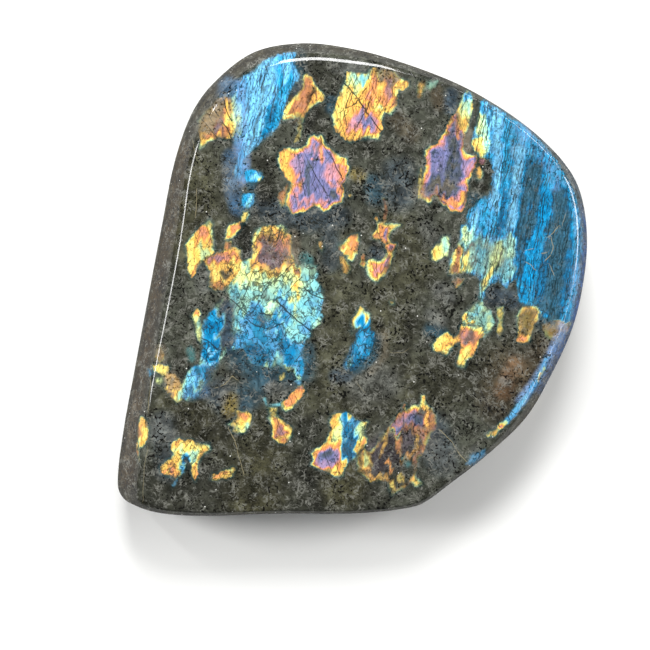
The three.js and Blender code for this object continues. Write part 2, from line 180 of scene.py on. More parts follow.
# Every zone of flash that shows on the face. Its first line has its name, the colour in its middle
# and "rim", the millimetres that it takes to get there from the edge, through the colours before
# it. Then "glow" is its strength at the edge and in the middle, and "net", "fibre" and "straight"
# are how strongly a web of cracks, the stone's fibres and straight cracks show in it. Its second
# line is its outline. The others are its strokes, which paint over what is under them: a colour,
# or none where only the strength changes, half the width, the strength and the line.
ZONE_CRACKS = {"net": [0.1], "fibre": [0.3], "straight": [0.6]}  # where a zone doesn't say
# The pale streak on the lower right rim is partly a painted highlight: a pale blue and cyan sheen where
# the rim reflects the light, painted over the flash colours there.
ZONES = """
blue band at the top left: sky, rim 0.5, glow 0.85 1, net 0.2, fibre 0.9
-22.1 40.2, -20.2 41.4, -18 43.3, -15.6 44.4, -13 45, -11.4 45, -11.6 43.5, -11.4 42, -10.5 40.9,
  -10.9 39.3, -11.6 39, -12.2 37.8, -12.6 37.2, -13 36.1, -13.4 34.6, -13.9 32.6, -14.6 30.9,
  -15.4 29.6, -16.3 28.5, -17.4 27.8, -18.3 27.2, -18.9 26.3, -20 25.4, -21 24.6, -21.5 22.4,
  -22.2 19.7, -23.4 19.8, -23.8 21.3, -23.4 22.8, -22.8 24.6, -23 25.7, -24.1 27.2, -23.4 28.9,
  -23.1 30.7, -23.9 33.3, -24.2 35.4, -24.5 36.3, -23.2 38.9
periwinkle 2.2 0.9: -22.6 38, -22.3 31
sky 2.2 1: -17.6 42, -19.3 36, -20.8 29
azure 2 0.95: -13.6 43.5, -13.6 38, -15.4 32.5
blue 1 0.9: -16.2 33.5, -16.6 30, -17.8 28.4
sky 0.9 1: -12.9 43.8, -13.5 40.2
periwinkle 1 0.9: -22.3 28.5, -22.4 20.6
mint 0.7 1: -23.9 36.2, -23.2 33, -22.8 31, -22.9 29
lime 0.4 1: -24.3 36.2, -23.8 33.2, -23.2 30.8, -23.5 28.6
none 0.9 0.45: -22.4 40.3, -20.6 41.6, -18.6 43.2
none 1.7 0.5: -23 37.6, -22.6 32, -22.6 20
none 0.3 0.4: -17.2 42, -17.8 39, -18.6 33.5, -20.6 26, -21.4 23.6
none 0.5 0.7: -15.4 36.4, -16.8 31

grey-brown patch left of the blue band: gold, rim 0.8, glow 0.35 0.05, net 0, fibre 0.2, straight 0
-24.5 36.3, -24.2 35.4, -23.9 33.3, -23.1 30.7, -23.4 28.9, -24.3 27.9, -25.4 27.6, -26 28, -27.6 27.8,
  -28.9 27.2, -29.5 26.3, -30.4 25.6, -30.8 25.9, -30.6 27.8, -30.8 29.3, -31 31.5, -30 32.8, -27.8 35,
  -26.9 36
none 2 0.1: -27 34.4, -28.8 32.6, -29.6 30.2
mauve 0.9 0.2: -26.2 31.6, -26.8 30.2
gold 0.6 1: -25.4 35.2, -24.9 32.5, -24.5 29.4
orange 0.4 0.5: -25.8 33, -25.6 30.4, -25 29
lime 0.35 1: -24 35.4, -23.6 31.6, -23.6 29.4
orange 0.4 0.6: -24.8 28.9, -27.4 29, -29.4 28
gold 0.4 1: -24.8 28, -27.6 28.2, -29.4 26.9, -30.6 26.2

blue tip: azure, rim 0.4, glow 0.8 1, fibre 0.8
-22 22.2, -19.5 21.5, -18.4 21.1, -18 20.2, -18.4 19.5, -19.3 19.1, -21.3 19.1, -22 20.4
cyan 0.6 1: -19.7 20.4
yellow 0.55 1: -18.7 20.3
orange 0.25 0.9: -18.2 20.3

blue and cyan fleck: azure, rim 0.4, glow 0.8 1, fibre 0.8
-22.1 16.9, -19.6 17, -19.8 15.3, -20.4 13.9, -22.3 13.9, -22.3 15.5
cyan 0.75 1: -20.3 16.4, -20.8 14.6

lime fleck: yellow, rim 0.6, glow 0.7 0.9
-22.1 13.4, -20.7 13.4, -20.9 12.1, -21.6 11, -22.3 11.3
cyan 0.35 0.8: -21 12.6, -21.4 11.5

orange fleck at the left: orange, rim 0.7, glow 0.8 0.95
-22.6 11.3, -23.6 10.9, -24.8 10.6, -25.4 9.2, -25.6 7.7, -24.4 7.7, -23.2 8.8, -22.3 10.1
yellow 0.35 1: -24.8 10, -25.1 8.6

dim orange strand: orange, rim 0.7, glow 0.3 0.6
-24.2 7.6, -25.4 7.4, -26.2 5.2, -24.6 5

brown and gold diamond: orange, rim 1, glow 0.6 0.5, net 0
-9.6 40.9, -8.7 40.4, -8 39.8, -7.6 38.7, -6.7 37.6, -5.9 36.7, -5.65 35.9, -6.3 35.2, -7.4 34.6,
  -8.7 33.7, -9.3 33, -9.8 32, -10 31.1, -10.9 32, -11.7 31.7, -13 31.5, -14.2 31.2, -13.9 33.3,
  -13.1 34.8, -12.2 35.7, -11 37, -10.1 38.3, -10.2 39.8
orange 1.3 0.5: -9.3 38.8, -10.4 36, -12 33.4
none 1 0.06: -8.5 36.9, -8.2 35.7
gold 0.4 0.95: -8 39.3, -7.2 37.6, -6.2 36.2, -7.2 35.1, -9 34, -9.9 32.6
yellow 0.5 0.95: -13.6 32.2, -13 34.2, -12.2 35.2
lime 0.35 0.9: -13.9 31.8, -12.2 31.9, -10.9 32.4
none 0.7 0.35: -10.2 40, -10.3 38.2, -11.4 36.8

strands under the diamond: yellow, rim 0.7, glow 0.2 0.45
-11.4 31.6, -10.2 31.4, -10.1 29.4, -10.8 27.2, -11.8 27, -11.2 29.2

gold patch at the top: gold, rim 1, glow 0.95 1, net 0.25, fibre 0.6
-1.3 41.1, 1.1 41, 2.6 40.9, 3.5 41.5, 4.1 42.2, 5.4 41.5, 7.6 41.5, 9.3 40.4, 10.2 39.6, 11.2 39.1,
  11.1 38.3, 10.2 37.6, 9.1 37.4, 8.8 36.3, 8.8 35, 8.7 33.9, 7.6 32.6, 6.5 32.9, 6 32.4, 5.8 31.1,
  5.9 30, 5.4 28.9, 5 27.6, 4.1 27.8, 2.6 27.8, 1.3 27.8, 0.4 27.4, -0.65 27.1, -1.5 27.5, -2.4 28.3,
  -3.3 29.1, -3.9 30, -3.9 31.5, -4.3 32.4, -3.7 33.7, -3.4 35, -2.9 36.3, -2.4 37.4, -1.7 38.9, -1.4 40
orange 1 0.95: 4.4 40.6, 4 37.6, 3.4 34.6
gold 1.2 1: 1.6 38, 1 34.6
mint 1.5 0.8: 0.2 40, 2 39.6
cyan 0.6 0.75: 1.8 39.8, 2.2 38.9
lime 0.8 0.9: -0.6 38.6, 0.6 37.6
yellow 1 1: -1.4 36.5, -2.4 33.6, -2 31.4
yellow 0.6 1: 4.6 34.6, 5.2 33.8
orange 1 0.95: 6.8 37.6, 6.3 35.2
rose 0.9 0.5: 7 39.2, 7.5 36.4
none 2.2 0.12: 6.2 41, 8.8 39.4
gold 0.45 0.95: 8.9 38.2, 10.4 38.9
orange 0.5 0.9: 8 37, 8.4 35.2, 8 33.8
rose 1.7 0.85: 0.2 31, 3.8 31.4
mauve 1.3 0.8: 1.4 32.2, 2.6 31.4, 3.8 30.2
violet 0.7 0.75: 2.2 31.8, 3.2 30.6
orange 0.8 0.95: -1.6 30.4, -0.4 28.8
gold 0.7 1: 0.6 28.7, 3 28.7
rose 0.6 0.85: -0.4 30.2, 0.6 29.4
orange 0.5 0.9: 5 30.6, 4.8 28.6
lime 0.55 0.95: 5.5 34.1

violet star: violet, rim 1.7, glow 0.96 0.88, net 0.1, fibre 0.4
-12.4 25.9, -13.9 25.9, -14.7 25, -15.1 23.9, -14.9 22.8, -14.3 21.5, -13.5 20.2, -12.8 19.3,
  -12.5 18.7, -12.8 17.6, -13.3 16.5, -13.6 14.8, -12.9 13.7, -12 12.6, -10.9 13, -10 13, -9.2 13.4,
  -8.5 14.1, -7.7 14.6, -6.8 13.9, -5.9 13.3, -5.1 13.4, -4.3 14.3, -3.2 14.8, -2.2 15.2, -1.85 16.5,
  -1.85 17.8, -2.2 18.7, -1.5 19.6, -0.9 21.1, -0.8 22.2, -1.1 23, -1.3 24.1, -2.6 24.3, -3.7 25.2,
  -4.8 26.1, -5.65 27, -6 28, -6.5 28.7, -7 28, -7.8 28.6, -8.7 28.3, -8.9 27.4, -9.6 26.5, -10.4 25.9,
  -11.5 25.7
orange 1.5 0.95: -12.4 24.6, -12.8 22.2, -12 20
gold 1.1 1: -13.6 24.6, -13.8 22.6, -12.9 20.4
mauve 1 0.9: -11.6 23.6, -10.4 21.6
rose 1.3 0.92: -5.4 21.8, -4.6 20.2
violet 1.4 0.9: -7 22, -7.2 18.6
orange 0.9 0.95: -6.4 26, -6.2 24.4
rose 0.5 0.9: -7.8 25.6, -8.2 24.2
rose 1.4 0.95: -3.6 22.4, -3 19.6
orange 0.8 1: -3.2 23.4, -1.9 22, -2.2 20
brown 1.2 0.6: -3.2 17.4, -3.4 15.8
orange 0.5 0.8: -2.8 18.4, -2.6 16
rose 0.8 0.85: -11.6 15.4, -9.6 15, -7.6 15.8, -5.6 15
steel 0.5 0.7: -8.8 24, -9.4 20, -9 17
none 0.35 0: -7.3 23.9, -6.9 23.5
none 0.3 0: -11.5 13.9
none 0.3 0.35: -6.6 27.4, -8.2 22, -10.6 17.4

brown fringe left of the star: orange, rim 0.8, glow 0.2 0.5
-13.2 19, -12.6 18, -13.2 16, -13.7 14, -14.4 14.2, -15.2 16.4, -14.4 17.6

gold dot: gold, rim 0.5, glow 0.3 0.6
-1.2 16.7, -0.3 16.9, -0.1 16.1, -0.9 15.8

dim gold strand under the teal: orange, rim 0.6, glow 0.15 0.45
5.6 16, 6.8 16.2, 7 13.6, 6.6 11.4, 5.8 11.6, 6.2 13.8

dull gold near the top right edge: gold, rim 0.9, glow 0.15 0.5
12.6 39.4, 14.4 39.6, 14.4 37.4, 13.8 35.6, 12.8 35.8, 12.6 37.4

pale cyan near the top right edge: mint, rim 0.8, glow 0.2 0.5
14.5 39.6, 17.2 39.6, 16.6 38.2, 15.4 37.2, 14.6 37.6

column above the violet patch: gold, rim 0.8, glow 0.6 0.75, net 0.3, fibre 0.6
20.6 33, 21.2 34.6, 21.7 35.7, 22.1 36.9, 22.8 37.4, 23.6 36.8, 24 35.4, 23.9 34.1, 23.6 32.4,
  23.2 30.4, 22.6 28.8, 21 28.6, 20.4 30.6
azure 0.9 0.95: 22.7 36.6, 22.9 35.6
mint 1.2 0.95: 22.4 34.6, 22.6 33.2
lime 0.9 0.9: 21.9 32.8, 22.2 31.8
gold 1 0.7: 21.8 31, 21.7 29.6

violet patch at the upper right: steel, rim 2, glow 1 0.75, net 0.1, fibre 0.36, straight 0.45
20.6 33, 19.7 32.3, 19.1 31.1, 18.7 30.2, 18.4 29.3, 17.5 28.5, 17.2 27.6, 16.9 26.8, 15.8 26.5,
  14.7 26, 14.2 25.2, 14.3 24.3, 14.8 23.5, 14.4 22.4, 14.1 21.1, 13.7 19.6, 13.4 18, 13.2 16.5,
  13.5 15.7, 15.3 14.8, 16.2 16.2, 16.8 15.9, 17.7 14.6, 18.6 14.2, 19.2 13.5, 19.9 13.2, 20.8 13.3,
  21.6 13.1, 22.3 14.2, 22.7 15.3, 22.8 16.6, 23 17.6, 22.9 19.3, 23.4 20, 23.8 20.9, 24.5 22.6,
  24.8 23.7, 24.5 24.3, 23.4 24.6, 22.5 25, 22.1 25.9, 21.9 26.7, 22.2 27.8, 22.4 29.3, 21.4 31
brown 1.8 0.5: 16 19.4, 18.8 17.4
violet 1.9 0.8: 17.6 25, 17 21.4
violet 0.9 0.85: 19.4 29, 18.8 26.6
orange 0.9 0.6: 20.9 31.4, 20.9 28.6, 20.9 26.6
brown 0.9 0.5: 20.6 27, 20.2 22.4
mauve 1 0.85: 22.6 23.2, 22.6 21.4
rose 0.6 0.9: 23.6 23.4, 23 20.6
rose 0.5 0.85: 15.4 25.4, 15.2 22.6, 14.4 19.4
gold 0.45 0.85: 13.9 21.6, 13.6 18.6, 13.5 16.6
rose 0.9 0.85: 20.4 15.8, 21.6 17
gold 0.75 1: 20 14.3, 21.8 15, 22.2 17
orange 1 0.85: 20.4 14.6, 18.4 15.2, 16.4 16.8
none 1 0.3: 22.6 29.4, 22 27.4, 22.2 25.6
none 0.8 0.35: 20.4 32.6, 19.6 30.6, 19.4 28
none 0.6 0.35: 24.4 24.6, 24.8 22.8
none 2.4 0.25: 13.8 17.6, 16 17.2, 18.6 18
none 1 0.5: 17.4 21.6, 20.4 19.4
none 0.4 0.3: 19.8 30, 19.4 24, 18.4 17
none 0.4 0.4: 21.4 26, 21.2 20, 20 15.6

dim gold edge around the violet patch's foot: yellow, rim 0.4, glow 0.4 0.75
13.2 22, 13.9 22, 13.7 18.6, 13.2 15.6, 12.8 15.8, 13 18.6

gold spot in the dark nodule: gold, rim 0.6, glow 0.5 0.9
24.8 22.2, 25.6 22, 26 20.6, 25.6 19.6, 24.8 19.4, 24.5 20.8

brown spot in the dark nodule: rose, rim 0.5, glow 0.2 0.5
25.2 24, 26.4 23.8, 26.4 22.6, 25.6 22.4, 25 23

blue field at the right: azure, rim 0.4, glow 0.58 0.72, net 0.3, fibre 1, straight 0.2
25.4 35.4, 25.2 33.3, 24.8 31.5, 24.3 30, 24 28.9, 23.6 27.6, 23.6 26.7, 24 25.9, 24.3 25, 24.9 24.3,
  25.6 23.9, 26.5 23.9, 27.3 23.6, 28 21.3, 27.6 19.6, 27.4 18, 26.9 16.5, 26 16.6, 25 15.6, 23.6 14,
  22.8 13.5, 22.6 12.2, 22.5 10.9, 21.6 10.7, 21.4 9.4, 21.2 7.7, 20.8 6.4, 19.9 5.1, 19.2 3.8, 19.1 2,
  19.1 0.7, 19.9 0.5, 20.8 0.7, 22.1 1.2, 23.8 0.4, 24.7 0.4, 25.3 -0.7, 25.1 -2.3, 24.9 -4.3,
  25.5 -5.3, 26.2 -4.1, 26.4 -2.8, 26.8 -1.7, 28.2 -1.2, 29 -0.6, 29.9 -1.7, 30.8 -2.1, 31.4 -1,
  32.5 -0.2, 33 -4.5, 34 -5.6, 37 -5.6, 38 -8, 41 -8.2, 42.6 -10.4, 43.8 -8, 45.1 -1, 45.8 5.5, 45.9 10,
  45.4 12.6, 44.5 16.6, 42.6 20.4, 40 24.6, 37.2 27.6, 34.2 30.5, 30 33.3, 26 35.7
sky 1.3 0.72: 29.2 34.6, 29 27, 29.2 21, 28.6 15
azure 0.9 0.8: 30.6 33, 30.4 24, 30 18
blue 0.5 0.8: 30.2 20, 29.8 15, 29 10
sky 1.5 0.66: 33.2 25.6, 32.4 19, 31.4 10.5
blue 0.4 0.6: 31.6 23, 31 15, 30.2 10.4
none 0.9 0.55: 32.4 31, 31.8 24.5
none 1.6 0.6: 33.4 29.6, 35.6 27.2, 37.6 24.8
none 1.2 0.65: 39.8 23, 40 18.5
sky 0.9 1: 27 35.2, 27.6 30
blue 0.28 0.4: 27.7 35.4, 27.3 32, 26.9 28.6
deep 0.45 0.8: 30.4 17, 30 13.4, 29.2 9
deep 0.4 0.8: 34.2 17.6, 33.2 12, 32.4 7.6
azure 0.6 0.95: 26 35.6, 25.9 34.2
lime 1 1: 25.4 32.2, 25.2 29.4
mint 0.8 1: 26.4 31.6, 26.5 28
gold 0.9 0.95: 24.3 27.4, 24.9 25.4
yellow 0.8 1: 25.4 27.6, 25.9 25.2
mint 0.5 0.9: 26.6 26.6, 26.8 24.6
navy 1.3 0.72: 35.8 22.4, 34.6 16, 33.6 8, 33.2 1
navy 1.3 0.72: 37.2 22.2, 36.2 16, 35.2 9
deep 0.7 0.8: 35 14, 34.8 13
navy 1.5 0.72: 41.2 17.4, 40.2 10, 39 3, 38 -6
navy 1.9 0.72: 42 14, 42 7, 41 0, 40 -7
deep 1.3 0.8: 38.2 2.6, 36.8 -3.6
deep 0.8 0.7: 43.4 6, 42.8 -3
blue 1.2 0.9: 38.5 17.2, 38.3 15.3, 38 13.1, 37.5 10.9, 37.1 9.2, 36.6 7.2, 36.3 5.5, 35.8 3.3,
  35.4 1.4, 34.8 -0.4, 34.4 -1.8, 34 -3.4
periwinkle 0.9 0.6: 43 19, 44.8 12, 45 5, 44.4 -2
mint 3.8 0.31: 25.6 4.6, 29 4.4
lime 1.6 0.48: 20.8 6.4, 20.2 1.4, 22.4 1.6
mint 1 0.6: 31.6 7.6, 31.2 1
sky 0.8 0.8: 24.2 13, 24.4 9.8
azure 0.9 0.8: 26.2 14, 26 9.6
mint 0.9 0.9: 23.4 9.8, 23 7.6
lime 0.6 0.85: 22.4 10, 22 7.8
orange 0.8 0.4: 21.2 6, 20.6 1.4
yellow 0.5 0.85: 22.8 5.4, 22.3 2.6
yellow 0.35 0.95: 20 4.4, 19.6 2.6, 19.5 1
lime 1 0.55: 29.4 6.8, 28.4 4, 27.6 1.6, 26 -1.4
yellow 0.6 0.65: 27.8 1.6, 26.4 -0.8
none 1 0.25: 25.4 6.4, 26.4 3.6
cyan 1.2 0.35: 25.4 5, 24.8 1.4
cyan 1.2 0.45: 30.8 2.4, 30 -0.6
cyan 0.7 0.5: 25.4 -2.6, 25.4 -4.4
none 0.5 0: 22.6 5.9, 23.8 5.8

brown fleck under the blue field: orange, rim 0.8, glow 0.4 0.55
19.6 -0.6, 20.4 -1.9, 21.5 -1.7, 22.3 -0.3, 21 0.2
yellow 0.35 0.95: 21.2 -1.4, 21.9 -0.5

yellow and mint fleck: lime, rim 0.5, glow 0.75 1, net 0.3
19.2 8.3, 17.7 8.3, 17.3 7.1, 16.4 6.5, 15.6 5.3, 15.6 3.7, 16.8 3.3, 17.9 3.9, 18.9 4.5, 19.2 6.4
mint 0.8 1: 18.3 7.6, 18.3 5.8
yellow 0.6 1: 16.9 6.2, 17.2 4.2
gold 0.4 1: 16.2 5.4, 16.2 4

gold patch at the left, upper part: gold, rim 0.7, glow 0.9 1, net 0.3
-28.6 11.8, -28 10.8, -28 9, -28 8, -27.6 6.6, -27.7 5.2, -28.3 4.6, -29.2 4.1, -30.2 3.2, -31 2.4,
  -31.4 1, -32.3 0, -32.9 1.4, -33.2 4, -33.6 6.5, -33 7.3, -32.3 8.4, -31.3 9.4, -30.4 10.3, -29.3 11.1
orange 1.1 0.9: -29.4 9.8, -30.6 8.2
yellow 0.8 1.05: -32.6 6.4, -32.3 3.4, -32.2 1.2
lime 1.2 0.7: -29.9 6.2, -29.7 5
orange 0.6 0.75: -28.4 7.2, -28.3 5.8
orange 0.4 0.9: -31.9 2, -32.1 0.8

gold patch at the left, lower part: gold, rim 0.6, glow 0.5 0.8, net 0.45
-29.9 3.5, -29.3 4.2, -27.8 4.6, -26.5 5.3, -24.9 6, -23.4 6.2, -22.5 5.7, -22.2 3.8, -21.9 2.7,
  -22.1 0.5, -24 -0.8, -25 -1.9, -26 -2.5, -27.8 -2.5, -29 -1.9, -28.7 -0.2, -28.7 1.2, -29.4 2.5
rose 1 0.6: -28.4 3.6, -26.4 4
none 0.9 0.35: -28.6 -1.8, -26 -2.4
orange 1.1 0.75: -25.2 4.6, -23.6 4.4
yellow 0.8 0.9: -24.4 3, -22.8 2.4
yellow 0.9 0.85: -27.8 1.2, -26.4 0.2
orange 0.8 0.55: -27.6 -1.4, -26 -1.4
none 0.8 0.06: -26 0.9, -25.2 0.6
none 0.4 0: -24.5 1.1, -24.1 0.9

great patch, left of the middle: mint, rim 0.5, glow 0.66 0.8, net 1, fibre 0.15
-20 8.5, -19.7 9.4, -19.1 9.8, -18 10.4, -16.2 10.5, -15.2 10.3, -14.3 10.7, -13.7 10.2, -12.8 9.4,
  -12.2 8.5, -12.3 5, -11.5 3, -9 3, -7.2 2.5, -7 0.7, -7.4 -0.4, -6.5 -1.7, -5.9 -3.2, -5.8 -4.5,
  -6.3 -6, -6.5 -7.1, -6 -7.5, -6.3 -8.8, -7.4 -9.7, -8.3 -10.4, -8.4 -11.5, -8.9 -12.3, -9.8 -13.4,
  -10 -14.9, -9.6 -17.2, -9.8 -18.7, -10.2 -20, -11.1 -20.7, -12 -18, -17 -18, -20.5 -17, -22 -14,
  -25 -14.5, -27 -17.5, -28.5 -20.5, -30.4 -22.4, -30.8 -23.5, -31.7 -24.5, -33.2 -24.4, -34.5 -24,
  -34.3 -22.2, -34.1 -20.9, -33.4 -19.8, -33 -18.7, -32.1 -17.7, -30.8 -17.2, -30.4 -15.7, -30.2 -14.1,
  -30.6 -12.8, -30.4 -11.9, -30.2 -9.9, -29.9 -8.4, -28.8 -7.1, -28 -6.2, -27.5 -5.4, -26.5 -4.9,
  -25.6 -3.8, -25.4 -2.3, -24.9 -1, -22.5 3.3, -20.3 4
yellow 2.4 0.75: -19 1.6, -13 1.4
lime 2.4 0.95: -22.6 0.4, -16 -0.6, -12 -0.6
mint 2.2 0.9: -22.6 -3, -17 -3, -12.5 -3.2
azure 2.6 0.5: -21 -14, -16 -13, -11.6 -14
cyan 1.2 0.5: -24 -1.6, -22.6 -5, -22.4 -8.6
mint 1 0.8: -22.3 -4.6, -22.3 -8.8
gold 2 0.58: -19 4, -17.6 8.4, -14.4 8.4, -13.2 4.4
orange 1.6 0.4: -18 7, -15 7, -14.4 4, -18.4 3.4
none 3.2 0.05: -17.2 4.8, -16 4
gold 0.8 0.85: -19.4 4.4, -19.2 8, -17.8 9.5, -15 9.7
yellow 0.5 1: -19.6 8.4, -19.7 5
none 0.35 0.3: -18.2 9.8, -19 7.2
none 0.35 0.3: -16.2 10, -17 7.4
none 0.4 0.3: -14.3 10.4, -15.4 6
none 0.9 0.3: -12.2 8.8, -12 5, -10.6 3.2
gold 0.9 0.7: -19.4 2.2, -17 1.4, -14.6 1.8
orange 0.5 0.3: -12.2 2, -10.6 0.6
none 0.8 0.25: -8 2, -8 0.4
yellow 0.6 1.1: -11.8 -2, -11 -3.2
gold 0.4 1: -11.4 -1.6, -11 -2.6
cyan 1.9 0.85: -7.8 -1.4, -7.4 -2.4
cyan 2.8 0.8: -9.2 -5.4, -8.4 -6.6
sky 0.8 0.8: -6.4 -5, -6.6 -7.4
lime 0.8 0.9: -12.6 -4.6, -11.6 -6.4
sky 1.3 0.8: -14.6 -4.4, -13 -6.6
cyan 2.4 0.82: -12.4 -10.4, -10.4 -11
sky 1 0.85: -9.6 -9.4, -8.6 -11.4
none 0.8 0.35: -17.2 -2.8, -17.4 -3.6
mint 1.3 1.1: -16.9 -5.3, -16.4 -6
periwinkle 1.9 0.75: -21.2 -8.8, -21 -11.4
azure 1.6 0.7: -19 -6.6, -18.6 -9.6
none 1.2 0.2: -18.4 -7.8, -16.2 -7.4
azure 1.3 0.75: -16 -9, -13.6 -8.2
azure 2 0.6: -18.4 -12, -15.6 -12.2
blue 1.6 0.7: -12.8 -13.8, -12.4 -16.2
blue 0.9 0.95: -12.9 -14.6, -12.6 -17
azure 0.9 0.75: -10.4 -14, -10.5 -19.4
blue 1.8 0.45: -20.4 -14.8, -17.6 -16.2
azure 1.1 0.95: -24.4 -13.8, -21.6 -12
none 2.1 0: -25.2 -5.4, -25.3 -9.4, -25.2 -13
blue 1.4 1.05: -28.2 -7.6, -28.8 -11, -28.8 -15.6
blue 0.9 1: -26.8 -8, -26.8 -10.6
deep 1 0.9: -27.4 -13, -27.4 -16.6
sky 0.7 1: -28.6 -14.6, -27.6 -15.2
periwinkle 1.1 0.8: -29.9 -18.2, -29.2 -19.8
azure 1.1 0.9: -31.2 -18.2, -31.4 -20.6
sky 1 0.9: -32.6 -19.8, -32.8 -22.4
periwinkle 1 0.4: -33.2 -23.6, -31.6 -23.4
deep 1.2 0.35: -28.6 -18.4, -28 -20
cyan 0.6 0.45: -14.6 -15.8, -15 -17.6
none 1.4 0.3: -21.4 -16.4, -17 -17.4, -13.4 -18.4
none 0.9 0.4: -31.4 -22.8, -29.8 -21.4
none 0.5 0.5: -31.2 -17.8, -30.9 -20.4

pale flecks under the great patch: lime, rim 0.7, glow 0.3 0.7, net 1
-15.8 -15.6, -14.4 -15.2, -12.8 -17, -11.9 -18.4, -12.8 -19, -14 -18, -15.2 -17.4

yellow spot under the great patch: yellow, rim 0.4, glow 0.8 1.1
-14.9 -19.3, -13.6 -19, -13.4 -20, -14.6 -20.6

fleck left of the great patch: lime, rim 0.4, glow 0.7 0.95
-30.9 -6.1, -30.4 -7.2, -30.5 -8.4, -30.1 -9.7, -30.3 -11.2, -30.6 -13, -31.4 -11.2, -31.6 -9.5,
  -32.3 -7.5, -31.6 -6.5
orange 0.6 1: -31.4 -7, -30.9 -7
yellow 0.45 0.9: -31.4 -8.6
mint 0.45 0.95: -30.7 -8.6, -30.7 -10

small dim gold fleck: gold, rim 0.5, glow 0.3 0.65
-7 7.4, -6.2 7.4, -5.8 6, -6.2 5, -6.8 5.8

orange fleck in the middle: orange, rim 1, glow 0.9 1, net 0.3
1.1 8.9, 1.2 7.2, 0.9 5.5, 0.5 4.2, -0.2 3.3, -1.1 3.7, -1.5 4.6, -2.4 5.1, -2.9 5.7, -3 6.6, -2 7.1,
  -1.1 7.8, -0.2 8.5
lime 0.6 0.85: -2.5 6.2, -1.8 5.6
gold 0.4 1: -0.6 4.1, 0.2 4.6

olive tail of the orange fleck: gold, rim 0.6, glow 0.3 0.6
-2.6 4.4, -1.6 4, -0.8 2.8, -0.5 1.8, -1.1 0.8, -2 0.9, -2.3 1.9, -2.7 3.2

dim gold strand: orange, rim 0.6, glow 0.35 0.7
1.6 4.9, 2.3 4.7, 2.4 3.3, 2.6 2.5, 2.2 1.8, 1.4 2.5, 1.5 3.5

orange-brown patch, upper part: orange, rim 0.9, glow 0.6 0.8
4.6 12.6, 5.2 11.3, 6.3 10.9, 7.2 11, 8.5 10.8, 9.6 10.6, 8.6 9.9, 7.7 9.3, 7.2 8.1, 7.5 7.2, 6.5 6.8,
  5.4 7.2, 5.6 7.9, 4.8 7.8, 3.8 7.8, 3.8 8.8, 4.7 9.5, 4.8 10.6, 4.4 11.8
yellow 0.4 1: 4.2 8.4, 5.2 8.6
brown 0.6 0.6: 7 9, 6.6 8
orange 0.5 0.95: 5.4 10, 6.4 9.8

peach patch, lower part: orange, rim 1, glow 1 0.95, net 0.3
7 7, 8.6 6.8, 8.2 5.1, 7.8 3.8, 7.4 2.5, 6.6 1.1, 5.4 -0.4, 4.6 -0.9, 3.4 0, 2.7 0.7, 2.7 2, 2.9 3.4,
  3.9 3.9, 5 3.5, 5.9 3.6, 6.5 4.3, 6.7 5.3, 6.4 6.2
brown 0.8 0.4: 7.8 5.8, 7.5 4, 6.6 2.2
lime 0.35 0.9: 6.3 6, 6.6 4.8, 6 3.8
rose 0.7 0.9: 4.4 2.2, 5.2 1.2
yellow 0.4 1: 3.3 1, 4.4 -0.2

gold top of the blue tail in the middle: gold, rim 0.7, glow 0.9 1
1.4 -5.6, 2.3 -6.5, 3.3 -7.1, 3.4 -9.7, 2.2 -10, 0.3 -10.2, -0.4 -9.5, -0.2 -8.3, 0.6 -7.2, 1 -6.2
orange 0.4 1: 1.4 -6.6, 2.2 -7
lime 0.4 1: 0.8 -8.2, 1.4 -7.6, 2.8 -7.7
blue 1.6 1: 1.6 -9.6, 3 -9.2

blue tail in the middle: deep, rim 0.9, glow 0.3 0.7, net 0.9, fibre 0.5
1.2 -9.9, 3.4 -10.2, 4.5 -10.9, 4.4 -12.4, 4 -14.2, 3 -16, 1.6 -17.4, 0.4 -18.4, -0.6 -18.8, -1.8 -18.2,
  -2.2 -17.2, -1.4 -15.4, -0.6 -14, 0.2 -12.5, 0.6 -11
azure 1.5 0.75: 2.2 -10.8, 2.4 -12.8, 0.8 -14.6
azure 0.8 0.75: 3.4 -11.4, 3 -14
cyan 0.7 0.4: -0.4 -16.6, -0.8 -17.8

gold ring at the right: gold, rim 0.9, glow 0.6 0.25
33.8 -5.8, 36.6 -5.4, 37.4 -6.7, 37 -8.2, 36.2 -9.5, 35.5 -10.8, 35.3 -12.7, 33.8 -13, 32.5 -12.6,
  33 -10.8, 32.6 -9.3, 32.7 -7.5, 33.2 -6.5
none 1.2 0.06: 34.7 -7.4, 34.6 -10.2
orange 0.7 0.95: 33.6 -11.8, 34.7 -11.9

dull brown-gold by the right rim: gold, rim 1.2, glow 0.15 0.14
37.5 -9.4, 39.2 -8.4, 41.6 -8.2, 44 -8.6, 43 -11, 41.2 -11.6, 40.1 -13, 38.3 -11.8

teal patch at the lower right: mint, rim 0.4, glow 0.45 0.6, net 0.8
22.1 -7.1, 23.2 -6, 24.2 -5, 25.6 -4.3, 26.2 -5.6, 27.5 -6.3, 27.9 -7.8, 28.4 -8.8, 27.7 -9.9,
  27.5 -10.8, 26.2 -12.1, 25.8 -10.4, 24.7 -9.6, 23.2 -9.4, 22 -9.2, 21.6 -8
cyan 0.9 0.6: 25 -5.6, 24.4 -7.2
gold 0.4 1: 22 -7.6, 22.2 -8.6
lime 0.6 0.65: 27 -7.4, 27 -9.8
gold 0.4 0.8: 22.6 -9, 24.6 -9.6

violet and gold tongue at the lower right: orange, rim 0.9, glow 0.9 0.95, net 0.2
21.4 -9.6, 22.7 -9.4, 24.2 -9.6, 26 -9.7, 25.9 -11.2, 25.2 -12.3, 24.8 -13.6, 24.3 -14.9, 23.9 -15.7,
  22.8 -16.2, 22.3 -18, 20.6 -17.4, 20.8 -16.1, 21.3 -15, 21.5 -14.1, 21.3 -12.5, 20.9 -11.5, 21.3 -10.6
none 1.4 0.1: 23.5 -11.4, 22.8 -12.8
none 0.3 0.2: 22.4 -13.2, 22 -15
none 0.3 0.2: 23.6 -13.4, 23.2 -15.4
